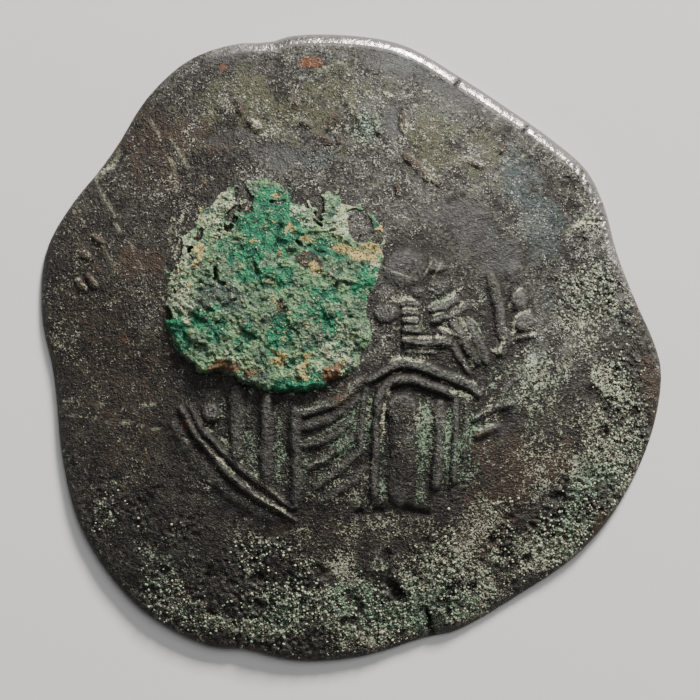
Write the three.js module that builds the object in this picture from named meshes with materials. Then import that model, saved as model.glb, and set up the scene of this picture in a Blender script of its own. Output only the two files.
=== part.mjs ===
// A struck, cup-shaped copper-alloy coin (a trachy), lying on its rim with the domed side up.
// The dome carries a worn enthroned figure, half hidden by a raised crust of green corrosion.
// The hollow side carries a plain cross on steps in a line border.
// Millimetres, +Z up, +Y towards the figure's head. The origin is the middle of the coin's
// footprint, on the ground that the coin lies on.
import * as THREE from "three";

// The flan, which is the blank piece of metal
const FLAN_WIDTH = 29.1;
const FLAN_LENGTH = 29.4;
const FLAN_THICKNESS = 0.66;
const EDGE_ROUNDING = 0.45;
const DISH_DEPTH = 3.1;

// The rim rises between the places where it rests, and is worn flat at each of them
const REST_COUNT = 3;
const REST_BEARING = 52;
const RIM_RISE = 0.42;
const RIM_UNEVEN_SHARE = 0.3;
const RIM_HIGHEST_BEARING = 50;
const REST_WEAR = 0.12;

// The die, whose drawing is laid out in hundredths of its own radius
const DIE_RADIUS = 14;
const FIGURE_RELIEF = 0.3;
const BODY_RELIEF = 0.2;
const LEGEND_RELIEF = 0.1;
const REVERSE_RELIEF = 0.16;

// The corrosion: a crust that thins towards the upper right, and pits
const CRUST_REACH = 5.3;
const CRUST_THICK = 0.56;
const CRUST_THIN = 0.2;
const CRUST_FLANK = 0.4;
const CRUST_LUMP = 0.07;
const CRUST_RAG = 0.07;
const LUMP_SPACING = 2.4;
const PIT_DEPTH = 0.2;

// How far apart the facets' corners lie: round the rim, along a carved line, on the crust, and
// in the open on each face
const RIM_SPACING = 0.72;
const CARVED_SPACING = 0.4;
const CRUST_SPACING = 0.58;
const OBVERSE_SPACING = 0.8;
const REVERSE_SPACING = 1.15;
const CLOSEST_CARVED = 0.12;

const DIE_UNIT = DIE_RADIUS / 100;
const DEGREE = Math.PI / 180;
const SUNFLOWER_ANGLE = 137.508;
const CURVE_STEPS = 24;
const LUMP_WAVES = 5;
const LUMP_SPREAD_RATIO = 0.16;

// The insets of the corners over the rounded edge, as shares of its rounding
const EDGE_STEPS = [0, 0.16, 0.5, 1.1];

// The outline's corners and dents as [bearing in degrees, reach], before they are fitted to the
// flan's width and length. Bearing 0 is +X and 90 is +Y.
const OUTLINE = [
  [356, 14.6], [2, 14.15], [9, 13.58], [20, 13.3], [29, 13.68], [37, 13.95], [46, 13.7],
  [57, 13.56], [68, 13.82], [80, 14.52], [90, 14.75], [101, 14.98], [105, 14.9], [110, 15.28],
  [119, 15.55], [129, 15.18], [139, 14.55], [145, 14.5], [152, 14.76], [162, 15.06],
  [174, 14.63], [184, 14.06], [190, 14.06], [201, 14.52], [214, 15.26], [229, 15.72],
  [239, 15.68], [246, 15.46], [250, 15.06], [260, 14.96], [272, 14.56], [285, 14.1],
  [290, 14.24], [304, 14.08], [318, 14.44], [330, 14.6], [344, 14.68],
];

// The crust's outline as [bearing, share of its reach], about its own middle
const CRUST_MIDDLE = [-25.5, 19.5];
const CRUST_OUTLINE = [
  [13, 1.0], [22, 1.08], [40, 1.15], [58, 1.02], [71, 0.84], [82, 0.96], [97, 1.0],
  [112, 0.95], [137, 0.97], [165, 0.94], [187, 0.99], [210, 0.99], [230, 0.95], [250, 0.87],
  [273, 0.89], [296, 1.0], [316, 1.02], [335, 0.95], [354, 0.86],
];

const polar = (bearing, reach) =>
  new THREE.Vector3(
    reach * Math.cos(bearing * DEGREE), reach * Math.sin(bearing * DEGREE), 0,
  );

const bearingOf = (x, y) => (Math.atan2(y, x) / DEGREE + 360) % 360;

const smooth = (t) => {
  const s = Math.min(Math.max(t, 0), 1);
  return s * s * (3 - 2 * s);
};

// Points along a closed smooth curve through knots of [bearing, reach].
function closedCurve(knots) {
  const corners = knots.map(([bearing, reach]) => polar(bearing, reach));
  const curve = new THREE.CatmullRomCurve3(corners, true, "centripetal");
  return curve.getPoints(knots.length * CURVE_STEPS).slice(1);
}

// The curve's points, moved and stretched to fill a box of the flan's width and length about
// the origin.
function fitToFlan(points) {
  const box = new THREE.Box3().setFromPoints(points);
  const middle = box.getCenter(new THREE.Vector3());
  const size = box.getSize(new THREE.Vector3());
  const stretch = new THREE.Vector3(FLAN_WIDTH / size.x, FLAN_LENGTH / size.y, 1);
  return points.map((p) => p.clone().sub(middle).multiply(stretch));
}

// The reach of a closed curve at any bearing, read between its two nearest points.
function reachByBearing(points) {
  const table = points
    .map((p) => [bearingOf(p.x, p.y), Math.hypot(p.x, p.y)])
    .sort((a, b) => a[0] - b[0]);
  return (bearing) => {
    let low = 0;
    let high = table.length;
    while (low < high) {
      const middle = (low + high) >> 1;
      if (table[middle][0] < bearing) low = middle + 1;
      else high = middle;
    }
    const after = table[low % table.length];
    const before = table[(low + table.length - 1) % table.length];
    const gap = (after[0] - before[0] + 360) % 360 || 1;
    const t = ((bearing - before[0] + 360) % 360) / gap;
    return before[1] + (after[1] - before[1]) * t;
  };
}

const rimRadius = reachByBearing(fitToFlan(closedCurve(OUTLINE)));
const crustShare = reachByBearing(closedCurve(CRUST_OUTLINE));

// A raised stroke of the die along a smooth line through the points, in die units.
function ridge(points, width, height) {
  const curve = new THREE.SplineCurve(points.map(([x, y]) => new THREE.Vector2(x, y)));
  return { curve, line: curve.getPoints(points.length * 4), reach: width / 2, height };
}

// A raised or sunk oval of the die. Its turn is in degrees.
function boss(x, y, across, along, height, turn = 0) {
  return { x, y, across, along, height, turn: turn * DEGREE };
}

// Two nested arches of cloth over the knee on the right, with the shin below them.
function kneeFolds() {
  const outer = [
    [44, -15.5], [33.5, -10.5], [25, -7.5], [17.5, -6], [11.5, -7.5], [7, -13.5], [4.5, -21],
    [3.5, -32.5],
  ];
  const inner = [
    [36, -17], [30, -14.5], [23.5, -11.5], [18.5, -11], [13.5, -13], [10, -17], [9, -24],
    [9, -37.5], [8.5, -48.5],
  ];
  const shin = [[17, -18], [16.5, -34], [15.5, -47.5]];
  return [ridge(outer, 4, 1), ridge(inner, 3.4, 1), ridge(shin, 9, 0.85)];
}

// Cloth that hangs straight from the arch, each fold narrower than the one before it.
function hangingFolds() {
  return [27, 33.6, 38.2].map((x, i) => {
    const top = -18.5 - 0.8 * i;
    const foot = -47 + 2 * i;
    const line = [[x, top], [x - 0.4, (top + foot) / 2], [x - 0.8, foot]];
    return ridge(line, 5 - 1.2 * i, 0.75 - 0.12 * i);
  });
}

// Cloth that sweeps down to the left, between the knees.
function sweepingFolds() {
  return [0, 1, 2, 3, 4].map((i) => {
    const from = [3 - 0.7 * i, -12.5 - 7.3 * i];
    const bend = [-6.5 - 0.3 * i, -20 - 7.1 * i];
    const to = [-17.5 + 1.2 * Math.max(i - 2, 0), -23.5 - 6.9 * i];
    return ridge([from, bend, to], 3.7, 0.75);
  });
}

// Cloth that falls straight over the shin on the left.
function leftFolds() {
  return [0, 1, 2].map((i) => {
    const x = -38 + 9.6 * i;
    const top = -16.5 - 2 * i;
    const foot = -30 - 7.5 * i;
    return ridge([[x, top], [x + 0.4, (top + foot) / 2], [x, foot]], 4.6, 0.85);
  });
}

// The slanting rails and the beads of the throne, on the left and on the right.
function throne() {
  return [
    ridge([[-56, -20], [-50.5, -28], [-42, -38.5], [-32, -47.5], [-17.5, -56]], 3, 0.9),
    ridge([[-55.5, -30], [-49, -39.5], [-40, -47.5], [-32, -51.5]], 5, 0.4),
    ridge([[-46, -27], [-41, -32], [-35, -39]], 3, 0.7),
    ridge([[-29.5, -42.5], [-23.5, -47], [-18, -52]], 2.8, 0.7),
    ridge([[46, 23.5], [48.5, 13], [51, 1]], 4.4, 0.6),
    ridge([[54, 2.5], [60, 4]], 1.8, 0.7),
    ridge([[40, -23.5], [46, -20], [53.5, -18.5]], 2.8, 0.75),
    ridge([[42, -29.5], [47.5, -26.5]], 2.4, 0.6),
    ridge([[49, -15.5], [52, -11.5], [54.5, -9.5]], 2, 0.45),
  ];
}

// The raised hand: its fingers, the edge of the sleeve below them and the folds of the sleeve.
function handFolds() {
  const fingers = [0, 1, 2, 3].map((i) =>
    ridge([[15.8, 14 - 2.7 * i], [22.6, 14.6 - 2.7 * i]], 2, 0.75),
  );
  const cuff = [
    ridge([[18.5, 2], [25, 2.5], [31.5, 2]], 3.2, 0.85),
    ridge([[21.5, -1.5], [26.5, -1], [31, -0.5]], 2.2, 0.6),
  ];
  const arm = [0, 1].map((i) =>
    ridge([[25 - 0.5 * i, 13 - 4 * i], [30.5, 15 - 4 * i], [36.5, 17.6 - 3.6 * i]], 2.8, 0.8),
  );
  const drop = [0, 1, 2].map((i) =>
    ridge(
      [
        [30 + 3.8 * i, 4.2 + 2.4 * i], [34 + 3.6 * i, 0.6 + 2 * i], [37 + 3.4 * i, -4.5 + 1.8 * i],
        [40 + 3 * i, -9.4 + 1.9 * i],
      ],
      3.2, 0.65 + 0.05 * i,
    ),
  );
  return [...fingers, ...cuff, ...arm, ...drop];
}

// Beads of the throne, the knee, the hand's palm and the lumps along the shoulder.
function figureBosses() {
  return [
    boss(17, -20.5, 5.2, 5.6, 1), boss(11.5, 11, 4.2, 3.4, 0.7),
    boss(-45.5, -21, 3.5, 3.5, 1), boss(-47, -27.5, 1.8, 1.8, 0.6),
    boss(55.5, 16, 3.3, 4, 0.9, 10), boss(57, 8.5, 3.7, 3.9, 1), boss(54, 25, 3.4, 3.2, 0.4),
    boss(49, -1, 2.3, 2.3, 0.8),
    boss(18.5, 26, 8.5, 6.4, 0.8, 20), boss(27.5, 27, 4.2, 3.2, 0.9, -20),
    boss(29, 19.5, 4, 2.6, 0.7, 25), boss(21.5, 18, 2.2, 2, 0.6),
  ];
}

// The soft mass of the body that the folds lie on.
function bodyMounds() {
  return [boss(-8, 8, 42, 44, 1), boss(0, -30, 50, 27, 0.8), boss(-14, 40, 16, 17, 0.6)];
}

// A row of shallow strokes in the place of the worn inscription above the figure.
function legendStrokes() {
  return [0, 1, 2, 3, 4, 5].map((i) => {
    const lean = (i % 2 ? 35 : -50) + 12 * i;
    const middle = polar(116 - 4.4 * i, 78 - 1.6 * i);
    const half = polar(lean, 2 + 0.5 * (i % 3));
    return ridge(
      [[middle.x - half.x, middle.y - half.y], [middle.x + half.x, middle.y + half.y]], 2.2, 1,
    );
  });
}

// Pits that corrosion has eaten into the lower field.
function pits() {
  return [
    boss(15, -80.5, 5.2, 2.6, 1, -58), boss(68.5, -49.5, 2.8, 2.2, 0.6), boss(52, -68, 2.6, 2.6, 0.6),
    boss(80.5, -15, 4, 2.6, 0.6, -30), boss(84, -28, 2.4, 2.8, 0.6), boss(-10, -73, 2.8, 2.8, 0.5),
    boss(11.5, -68, 2.4, 2, 0.5),
  ];
}

// The hollow side: a cross with flared ends on three steps, inside a line border. Its top points
// towards -Y, so it stands upright when the coin is turned over from top to bottom.
function reverseStrokes() {
  const cross = [
    ridge([[0, 38], [0, -44]], 6.5, 1),
    ridge([[-30, -14], [30, -14]], 6.5, 1),
    ridge([[-8, -44], [8, -44]], 4, 1),
    ridge([[-30, -7], [-30, -21]], 4, 1),
    ridge([[30, -7], [30, -21]], 4, 1),
  ];
  const steps = [0, 1, 2].map((i) => {
    const half = 12 + 8 * i;
    const y = 40 + 7 * i;
    return ridge([[-half, y], [half, y]], 5, 1);
  });
  const border = [];
  for (let bearing = 0; bearing <= 360; bearing += 15) {
    const p = polar(bearing, 78);
    border.push([p.x, p.y]);
  }
  return [...cross, ...steps, ridge(border, 3.2, 0.8)];
}

const FIGURE_RIDGES = [
  ...kneeFolds(), ...hangingFolds(), ...sweepingFolds(), ...leftFolds(), ...throne(), ...handFolds(),
];
const FIGURE_BOSSES = figureBosses();
const BODY_MOUNDS = bodyMounds();
const LEGEND = legendStrokes();
const PITS = pits();
const REVERSE = reverseStrokes();

// How much of a ridge's height stands at a point: round across, and falling off at its ends.
function ridgeShare({ line, reach }, x, y) {
  let nearest = Infinity;
  for (let i = 1; i < line.length; i += 1) {
    const a = line[i - 1];
    const b = line[i];
    const dx = b.x - a.x;
    const dy = b.y - a.y;
    const t = Math.min(Math.max(((x - a.x) * dx + (y - a.y) * dy) / (dx * dx + dy * dy), 0), 1);
    nearest = Math.min(nearest, Math.hypot(x - a.x - t * dx, y - a.y - t * dy));
  }
  return Math.max(1 - (nearest / reach) ** 2, 0);
}

function bossShare({ x: bx, y: by, across, along, turn }, x, y) {
  const dx = x - bx;
  const dy = y - by;
  const u = (dx * Math.cos(turn) + dy * Math.sin(turn)) / across;
  const v = (dy * Math.cos(turn) - dx * Math.sin(turn)) / along;
  return Math.max(1 - u * u - v * v, 0);
}

const tallest = (shapes, share, x, y) =>
  shapes.reduce((best, shape) => Math.max(best, shape.height * share(shape, x, y)), 0);

const sum = (shapes, share, x, y) =>
  shapes.reduce((total, shape) => total + shape.height * share(shape, x, y), 0);

// How far the crust reaches from its middle, with a ragged edge.
function crustReach(bearing) {
  const turn = bearing * DEGREE;
  const ragged = Math.sin(9 * turn) + Math.sin(14 * turn + 2) + Math.sin(23 * turn + 4);
  return CRUST_REACH * crustShare(bearing) + CRUST_RAG * ragged;
}

// Uneven lumps, about 1 high: waves of different lengths that run in all directions.
function lumpiness(x, y) {
  let total = 0;
  for (let i = 0; i < LUMP_WAVES; i += 1) {
    const length = LUMP_SPACING * (1 + LUMP_SPREAD_RATIO * i);
    const along = polar(i * SUNFLOWER_ANGLE, (2 * Math.PI) / length);
    total += Math.sin(along.x * x + along.y * y + i);
  }
  return total / Math.sqrt(LUMP_WAVES);
}

// The crust's height: a steep flank, a thickness that falls to the upper right, and lumps.
function crustHeight(x, y) {
  const dx = x - CRUST_MIDDLE[0] * DIE_UNIT;
  const dy = y - CRUST_MIDDLE[1] * DIE_UNIT;
  const inside = crustReach(bearingOf(dx, dy)) - Math.hypot(dx, dy);
  if (inside <= 0) return 0;
  const along = smooth(0.5 + (dx + dy) / (2 * Math.SQRT2 * CRUST_REACH));
  const thickness = CRUST_THICK + (CRUST_THIN - CRUST_THICK) * along;
  return (thickness + CRUST_LUMP * lumpiness(dx, dy)) * smooth(inside / CRUST_FLANK);
}

function obverseRelief(x, y) {
  const u = x / DIE_UNIT;
  const v = y / DIE_UNIT;
  const crust = crustHeight(x, y);
  const body = BODY_RELIEF * sum(BODY_MOUNDS, bossShare, u, v);
  const folds = tallest(FIGURE_RIDGES, ridgeShare, u, v);
  const beads = tallest(FIGURE_BOSSES, bossShare, u, v);
  const legend = LEGEND_RELIEF * tallest(LEGEND, ridgeShare, u, v);
  const pit = PIT_DEPTH * tallest(PITS, bossShare, u, v);
  return body + Math.max(FIGURE_RELIEF * folds, FIGURE_RELIEF * beads, crust) + legend - pit;
}

const reverseRelief = (x, y) =>
  REVERSE_RELIEF * tallest(REVERSE, ridgeShare, x / DIE_UNIT, y / DIE_UNIT);

// The rim is lowest at the places where it rests, and rises unevenly between them.
function rimRise(bearing) {
  const turns = REST_COUNT * (bearing - REST_BEARING) * DEGREE;
  const uneven = 1 + RIM_UNEVEN_SHARE * Math.cos((bearing - RIM_HIGHEST_BEARING) * DEGREE);
  return (RIM_RISE / 2) * (1 - Math.cos(turns)) * uneven;
}

// The middle of the metal's thickness, and half that thickness, at a point of the plan.
function flanAt(x, y) {
  const bearing = bearingOf(x, y);
  const radius = rimRadius(bearing);
  const share = Math.min(Math.hypot(x, y) / radius, 1);
  const inset = (1 - share) * radius;
  const middle = DISH_DEPTH * (1 - share * share) + rimRise(bearing) * share ** 4;
  const edge = Math.min(inset / EDGE_ROUNDING, 1);
  const half = (FLAN_THICKNESS / 2) * Math.sqrt(1 - (1 - edge) ** 2);
  return { middle, half };
}

function topAt(x, y) {
  const { middle, half } = flanAt(x, y);
  return middle + half + obverseRelief(x, y) * smooth(half / (FLAN_THICKNESS / 2));
}

function undersideAt(x, y) {
  const { middle, half } = flanAt(x, y);
  return middle - half - reverseRelief(x, y);
}

// Points all round the rim, at an inset from it.
function ring(count, inset) {
  const points = [];
  for (let i = 0; i < count; i += 1) {
    const bearing = (360 * i) / count;
    const p = polar(bearing, rimRadius(bearing) - inset);
    points.push(new THREE.Vector2(p.x, p.y));
  }
  return points;
}

// Points along a ridge's crest, and along both of its feet with one past each end.
function ridgeCorners({ curve, reach }) {
  const count = Math.max(Math.round((curve.getLength() * DIE_UNIT) / CARVED_SPACING), 1);
  const crest = [];
  const feet = [];
  for (let i = 0; i <= count; i += 1) {
    const p = curve.getPointAt(i / count);
    const along = curve.getTangentAt(i / count).multiplyScalar(reach);
    const across = new THREE.Vector2(-along.y, along.x);
    crest.push(p);
    feet.push(p.clone().add(across), p.clone().sub(across));
    if (i === 0) feet.push(p.clone().sub(along));
    if (i === count) feet.push(p.clone().add(along));
  }
  return { crest, feet };
}

// Points at a boss's top and round its foot, and round the middle of a broad one.
function bossCorners({ x, y, across, along, turn }) {
  const feet = [];
  const sides = Math.max(Math.round(((across + along) * Math.PI * DIE_UNIT) / CARVED_SPACING), 6);
  const rings = across * DIE_UNIT > CARVED_SPACING * 1.5 ? [1, 0.6] : [1];
  rings.forEach((share) => {
    for (let i = 0; i < sides; i += 1) {
      const p = polar((360 * i) / sides, share);
      const corner = new THREE.Vector2(p.x * across, p.y * along);
      feet.push(corner.rotateAround(new THREE.Vector2(), turn).add(new THREE.Vector2(x, y)));
    }
  });
  return { crest: [new THREE.Vector2(x, y)], feet };
}

// Points along the foot and the shoulder of the crust's steep flank, and evenly over its top.
function crustCorners() {
  const middle = new THREE.Vector2(...CRUST_MIDDLE).multiplyScalar(DIE_UNIT);
  const around = Math.round((2 * Math.PI * CRUST_REACH) / CRUST_SPACING);
  const points = [];
  [0, CRUST_FLANK].forEach((inset) => {
    for (let i = 0; i < around; i += 1) {
      const bearing = (360 * i) / around;
      const p = polar(bearing, crustReach(bearing) - inset);
      points.push(middle.clone().add(p));
    }
  });
  const count = Math.round(Math.PI * (CRUST_REACH / CRUST_SPACING) ** 2);
  for (let i = 0; i < count; i += 1) {
    const bearing = (i * SUNFLOWER_ANGLE) % 360;
    const reach = crustReach(bearing) - CRUST_FLANK - CRUST_SPACING;
    points.push(middle.clone().add(polar(bearing, reach * Math.sqrt((i + 0.5) / count))));
  }
  return points;
}

// Points spread evenly over the whole plan, along a sunflower's spiral.
function openCorners(spacing) {
  const area = (Math.PI * FLAN_WIDTH * FLAN_LENGTH) / 4;
  const count = Math.round(area / (spacing * spacing * Math.cos(30 * DEGREE)));
  const points = [];
  for (let i = 0; i < count; i += 1) {
    const bearing = (i * SUNFLOWER_ANGLE) % 360;
    const p = polar(bearing, rimRadius(bearing) * Math.sqrt((i + 0.5) / count));
    points.push(new THREE.Vector2(p.x, p.y));
  }
  return points;
}

// A triangle and the circle through its corners.
function withCircle(points, corners) {
  const [a, b, c] = corners.map((i) => points[i]);
  const bx = b.x - a.x;
  const by = b.y - a.y;
  const cx = c.x - a.x;
  const cy = c.y - a.y;
  const twist = 2 * (bx * cy - by * cx);
  const bb = bx * bx + by * by;
  const cc = cx * cx + cy * cy;
  const x = (cy * bb - by * cc) / twist;
  const y = (bx * cc - cx * bb) / twist;
  return { corners, x: a.x + x, y: a.y + y, square: x * x + y * y };
}

// Delaunay triangles over points of the plan, which are taken in from left to right.
function triangulate(points) {
  const far = 50 * FLAN_LENGTH;
  const all = [
    ...points, new THREE.Vector2(-far, -far), new THREE.Vector2(far, -far), new THREE.Vector2(0, far),
  ];
  const count = points.length;
  const order = points.map((_, i) => i).sort((a, b) => points[a].x - points[b].x);
  const finished = [];
  let open = [withCircle(all, [count, count + 1, count + 2])];
  order.forEach((i) => {
    const p = all[i];
    const hollow = new Map();
    const kept = [];
    open.forEach((triangle) => {
      const dx = p.x - triangle.x;
      const dy = p.y - triangle.y;
      if (dx > 0 && dx * dx > triangle.square) {
        finished.push(triangle);
      } else if (dx * dx + dy * dy > triangle.square) {
        kept.push(triangle);
      } else {
        const [a, b, c] = triangle.corners;
        [[a, b], [b, c], [c, a]].forEach(([from, to]) => {
          const back = `${to} ${from}`;
          if (hollow.has(back)) hollow.delete(back);
          else hollow.set(`${from} ${to}`, [from, to]);
        });
      }
    });
    hollow.forEach(([from, to]) => kept.push(withCircle(all, [from, to, i])));
    open = kept;
  });
  return [...finished, ...open]
    .map(({ corners }) => corners)
    .filter((corners) => corners.every((i) => i < count));
}

// The corners inside the rim's rings: carved lines and the crust first, then the open surface.
function innerCorners(shapes, spacing, edge, crust) {
  const inside = (p) => {
    const bearing = bearingOf(p.x, p.y);
    return Math.hypot(p.x, p.y) < rimRadius(bearing) - EDGE_ROUNDING - RIM_SPACING;
  };
  const kept = [];
  const add = (points, gap) => points.forEach((p) => {
    const clear = kept.every((q) => q.distanceToSquared(p) > gap * gap);
    if (clear && inside(p)) kept.push(p);
  });
  const scaled = (points) => points.map((p) => p.clone().multiplyScalar(DIE_UNIT));
  shapes.forEach(({ crest }) => add(scaled(crest), CLOSEST_CARVED));
  add(crust, CARVED_SPACING / 2);
  shapes.forEach(({ feet }) => add(scaled(feet), CLOSEST_CARVED));
  add(openCorners(spacing), spacing * 0.6);
  return [...edge, ...kept];
}

// Triangles over the plan: strips over the rounded edge, and Delaunay triangles inside them.
function planMesh(shapes, spacing, crust) {
  const stations = Math.round((Math.PI * (FLAN_WIDTH + FLAN_LENGTH)) / 2 / RIM_SPACING);
  const rings = EDGE_STEPS.map((step) => ring(stations, step * EDGE_ROUNDING));
  const triangles = [];
  for (let k = 1; k < rings.length; k += 1) {
    for (let i = 0; i < stations; i += 1) {
      const next = (i + 1) % stations;
      const [a, b] = [i, next].map((j) => (k - 1) * stations + j);
      const [c, d] = [i, next].map((j) => k * stations + j);
      triangles.push([a, b, d], [a, d, c]);
    }
  }
  const start = (rings.length - 1) * stations;
  const points = innerCorners(shapes, spacing, rings.at(-1), crust);
  const isInside = (corners) => {
    const middle = corners.reduce((total, i) => total.add(points[i]), new THREE.Vector2());
    middle.divideScalar(3);
    const bearing = bearingOf(middle.x, middle.y);
    const onEdge = corners.every((i) => i < stations);
    return !onEdge || middle.length() < rimRadius(bearing) - EDGE_STEPS.at(-1) * EDGE_ROUNDING;
  };
  triangulate(points)
    .filter(isInside)
    .forEach((corners) => triangles.push(corners.map((i) => i + start)));
  return { points: [...rings.slice(0, -1).flat(), ...points], triangles, shared: stations };
}

// The two faces share the rim's points. The coin is lowered until the wear at its rests is
// below the ground, and cut off flat there.
function coinGeometry() {
  const ridges = [...FIGURE_RIDGES, ...LEGEND].map(ridgeCorners);
  const bosses = [...FIGURE_BOSSES, ...PITS].map(bossCorners);
  const top = planMesh([...ridges, ...bosses], OBVERSE_SPACING, crustCorners());
  const bottom = planMesh(REVERSE.map(ridgeCorners), REVERSE_SPACING, []);
  const lowest = Math.min(...bottom.points.map((p) => undersideAt(p.x, p.y)));
  const drop = lowest + REST_WEAR;
  const positions = [];
  top.points.forEach((p) => positions.push(p.x, p.y, Math.max(topAt(p.x, p.y) - drop, 0)));
  bottom.points
    .slice(top.shared)
    .forEach((p) => positions.push(p.x, p.y, Math.max(undersideAt(p.x, p.y) - drop, 0)));
  const below = (i) => (i < top.shared ? i : i - top.shared + top.points.length);
  const index = [
    ...top.triangles.flat(),
    ...bottom.triangles.flatMap(([a, b, c]) => [below(a), below(c), below(b)]),
  ];
  const geometry = new THREE.BufferGeometry();
  geometry.setAttribute("position", new THREE.Float32BufferAttribute(positions, 3));
  geometry.setIndex(index);
  geometry.computeVertexNormals();
  return geometry;
}

const patinatedMetal = new THREE.MeshStandardMaterial({
  color: 0x3d3833,
  roughness: 0.55,
  metalness: 0.6,
});

const coin = new THREE.Mesh(coinGeometry(), patinatedMetal);
coin.name = "trachy_coin";

const part = new THREE.Group();
part.add(coin);

export default part;
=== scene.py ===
"""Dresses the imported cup-shaped coin: its struck flan, corrosion crust, grains and reverse beads.

The coin lies on its rim with the domed side up, on a pale floor, and the camera looks down on it.
Lengths in this script are in millimetres until a mesh is made. The settings, the lights and the
floor are in metres. The die's drawing is laid out in hundredths of the die's radius, as (x, y),
with the figure's head towards +y.
"""

import math

import bmesh
import bpy
import numpy as np
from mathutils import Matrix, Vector


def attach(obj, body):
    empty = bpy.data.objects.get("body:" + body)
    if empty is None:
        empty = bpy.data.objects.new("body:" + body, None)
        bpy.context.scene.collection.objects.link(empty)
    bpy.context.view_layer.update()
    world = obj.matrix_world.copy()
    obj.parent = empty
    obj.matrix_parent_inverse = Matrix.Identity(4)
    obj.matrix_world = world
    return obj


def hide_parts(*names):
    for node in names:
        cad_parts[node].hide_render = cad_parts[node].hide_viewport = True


bl_info = {
    "name": "Trachy Coin",
    "version": (1, 0, 0),
    "blender": (4, 5, 0),
    "location": "3D View > Sidebar > Coin",
    "description": "Builds the worn, corroded surface of a cup-shaped coin around its packed solid",
    "category": "Object",
}

MM = 0.001
NODE = "trachy_coin"
BODY = "root"
IMAGE_WIDTH = 700

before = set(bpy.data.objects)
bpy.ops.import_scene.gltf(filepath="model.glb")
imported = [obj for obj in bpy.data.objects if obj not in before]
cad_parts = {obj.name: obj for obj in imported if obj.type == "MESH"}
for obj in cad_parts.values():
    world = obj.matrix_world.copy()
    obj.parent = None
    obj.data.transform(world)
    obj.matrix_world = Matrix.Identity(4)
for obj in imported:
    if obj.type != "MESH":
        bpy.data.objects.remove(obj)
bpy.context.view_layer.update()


# The die's drawing

# Worn folds and rails as (points, width, share of the relief)
BANDS = (
    (((32.7, 7.4), (36.1, 3.4), (38.4, -0.7), (41.5, -4.7)), 3.7, 0.8),
    (((38.1, 7.4), (40.4, 3.4), (42.5, -0.7), (44.8, -4.7)), 4, 0.8),
    (((29.5, 5), (33, 1), (35.5, -3.5), (38.5, -8)), 2.6, 0.55),
    (((26, 12.4), (30, 13.4), (34.1, 15.4)), 3, 0.7),
    (((26.7, 8.7), (30, 9.7), (34.1, 11.4), (37.1, 12.8)), 3.2, 0.7),
    (((16.3, 13.8), (19, 14.1), (22, 13.8)), 2.3, 0.75),
    (((16.6, 11.1), (19.3, 11.1), (22, 11.1)), 2.3, 0.75),
    (((17, 8.4), (19.6, 8.4), (22, 8.7)), 2.3, 0.75),
    (((17, 5.4), (19.6, 5.4), (22.3, 5.7)), 2.3, 0.75),
    (((17.6, 1.7), (23.3, 1.3), (28, 1.7), (32.4, 2.3)), 3, 0.8),
    (((18.3, -1.7), (22.7, -1.7), (27.4, -1.7)), 1.7, 0.5),
    (((5.9, -10.7), (11.6, -7), (16.6, -5.4), (21.7, -6), (26.7, -7.4), (31.7, -9.4),
      (36.8, -11.7), (42.5, -14.8)), 3.6, 1),
    (((8.9, -21.5), (9.2, -17.5), (10.6, -14.1), (13.9, -11.1), (19.3, -10.4), (25, -11.7),
      (29.4, -13.4), (33.1, -15.4)), 3.5, 0.95),
    (((5.9, -10.7), (4.6, -17), (4, -25), (3.4, -33)), 2.4, 0.4),
    (((8.6, -21.5), (8.2, -30.9), (7.9, -41), (7.9, -48.3)), 3, 0.7),
    (((17, -18), (16.8, -34), (16, -49)), 8.6, 0.6),
    (((29, -18.1), (28.7, -30.9), (28, -45)), 4.2, 0.8),
    (((34.1, -17.5), (34.1, -30.9), (33.4, -44)), 2.6, 0.7),
    (((37.4, -17.5), (37.4, -27.5), (37.1, -36)), 1.6, 0.5),
    (((-37.1, -14), (-37.1, -25.8), (-37.1, -34.9)), 5, 0.6),
    (((-27.4, -16), (-27.4, -30.9), (-27.7, -43)), 4.7, 0.6),
    (((-18, -20), (-17.6, -35.9), (-17.6, -51)), 4.4, 0.55),
    (((3.9, -10.1), (-0.2, -14.4), (-5.2, -18.1), (-15.3, -21.8)), 3.7, 0.6),
    (((2.5, -16.1), (-1.8, -20.5), (-6.9, -23.2), (-15.9, -26.2)), 3.5, 0.5),
    (((1, -23), (-4, -27.6), (-10, -30.6), (-16.5, -32.4)), 3.4, 0.42),
    (((0.5, -29), (-4.2, -33.4), (-10.2, -37.2), (-14.9, -39)), 3.4, 0.42),
    (((3, -33.5), (-2, -38.6), (-8, -43), (-12.4, -45.6)), 3.4, 0.4),
    (((5.2, -39.3), (0, -44), (-6, -48.2), (-10.6, -50.7)), 3.4, 0.35),
    (((-56, -20), (-50.5, -28), (-42, -38.5), (-32, -47.5), (-17.5, -56)), 2.2, 0.7),
    (((-53, -19.5), (-47, -27.5), (-39, -36), (-29, -44.5), (-19, -52)), 2.6, 0.4),
    (((-58, -25), (-52, -35), (-43, -44.5), (-33, -52), (-24, -56)), 4.4, 0.3),
    (((46, 23.5), (48.5, 13), (51, 1)), 4.4, 0.6),
    (((54, 2.5), (60, 4)), 1.8, 0.7),
    (((40, -23.5), (46, -20), (53.5, -18.5)), 2.8, 0.8),
    (((41, -29), (47.5, -26)), 2.6, 0.6),
    (((49, -15.5), (52, -11.5), (54.5, -9.5)), 2, 0.45),
)
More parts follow.
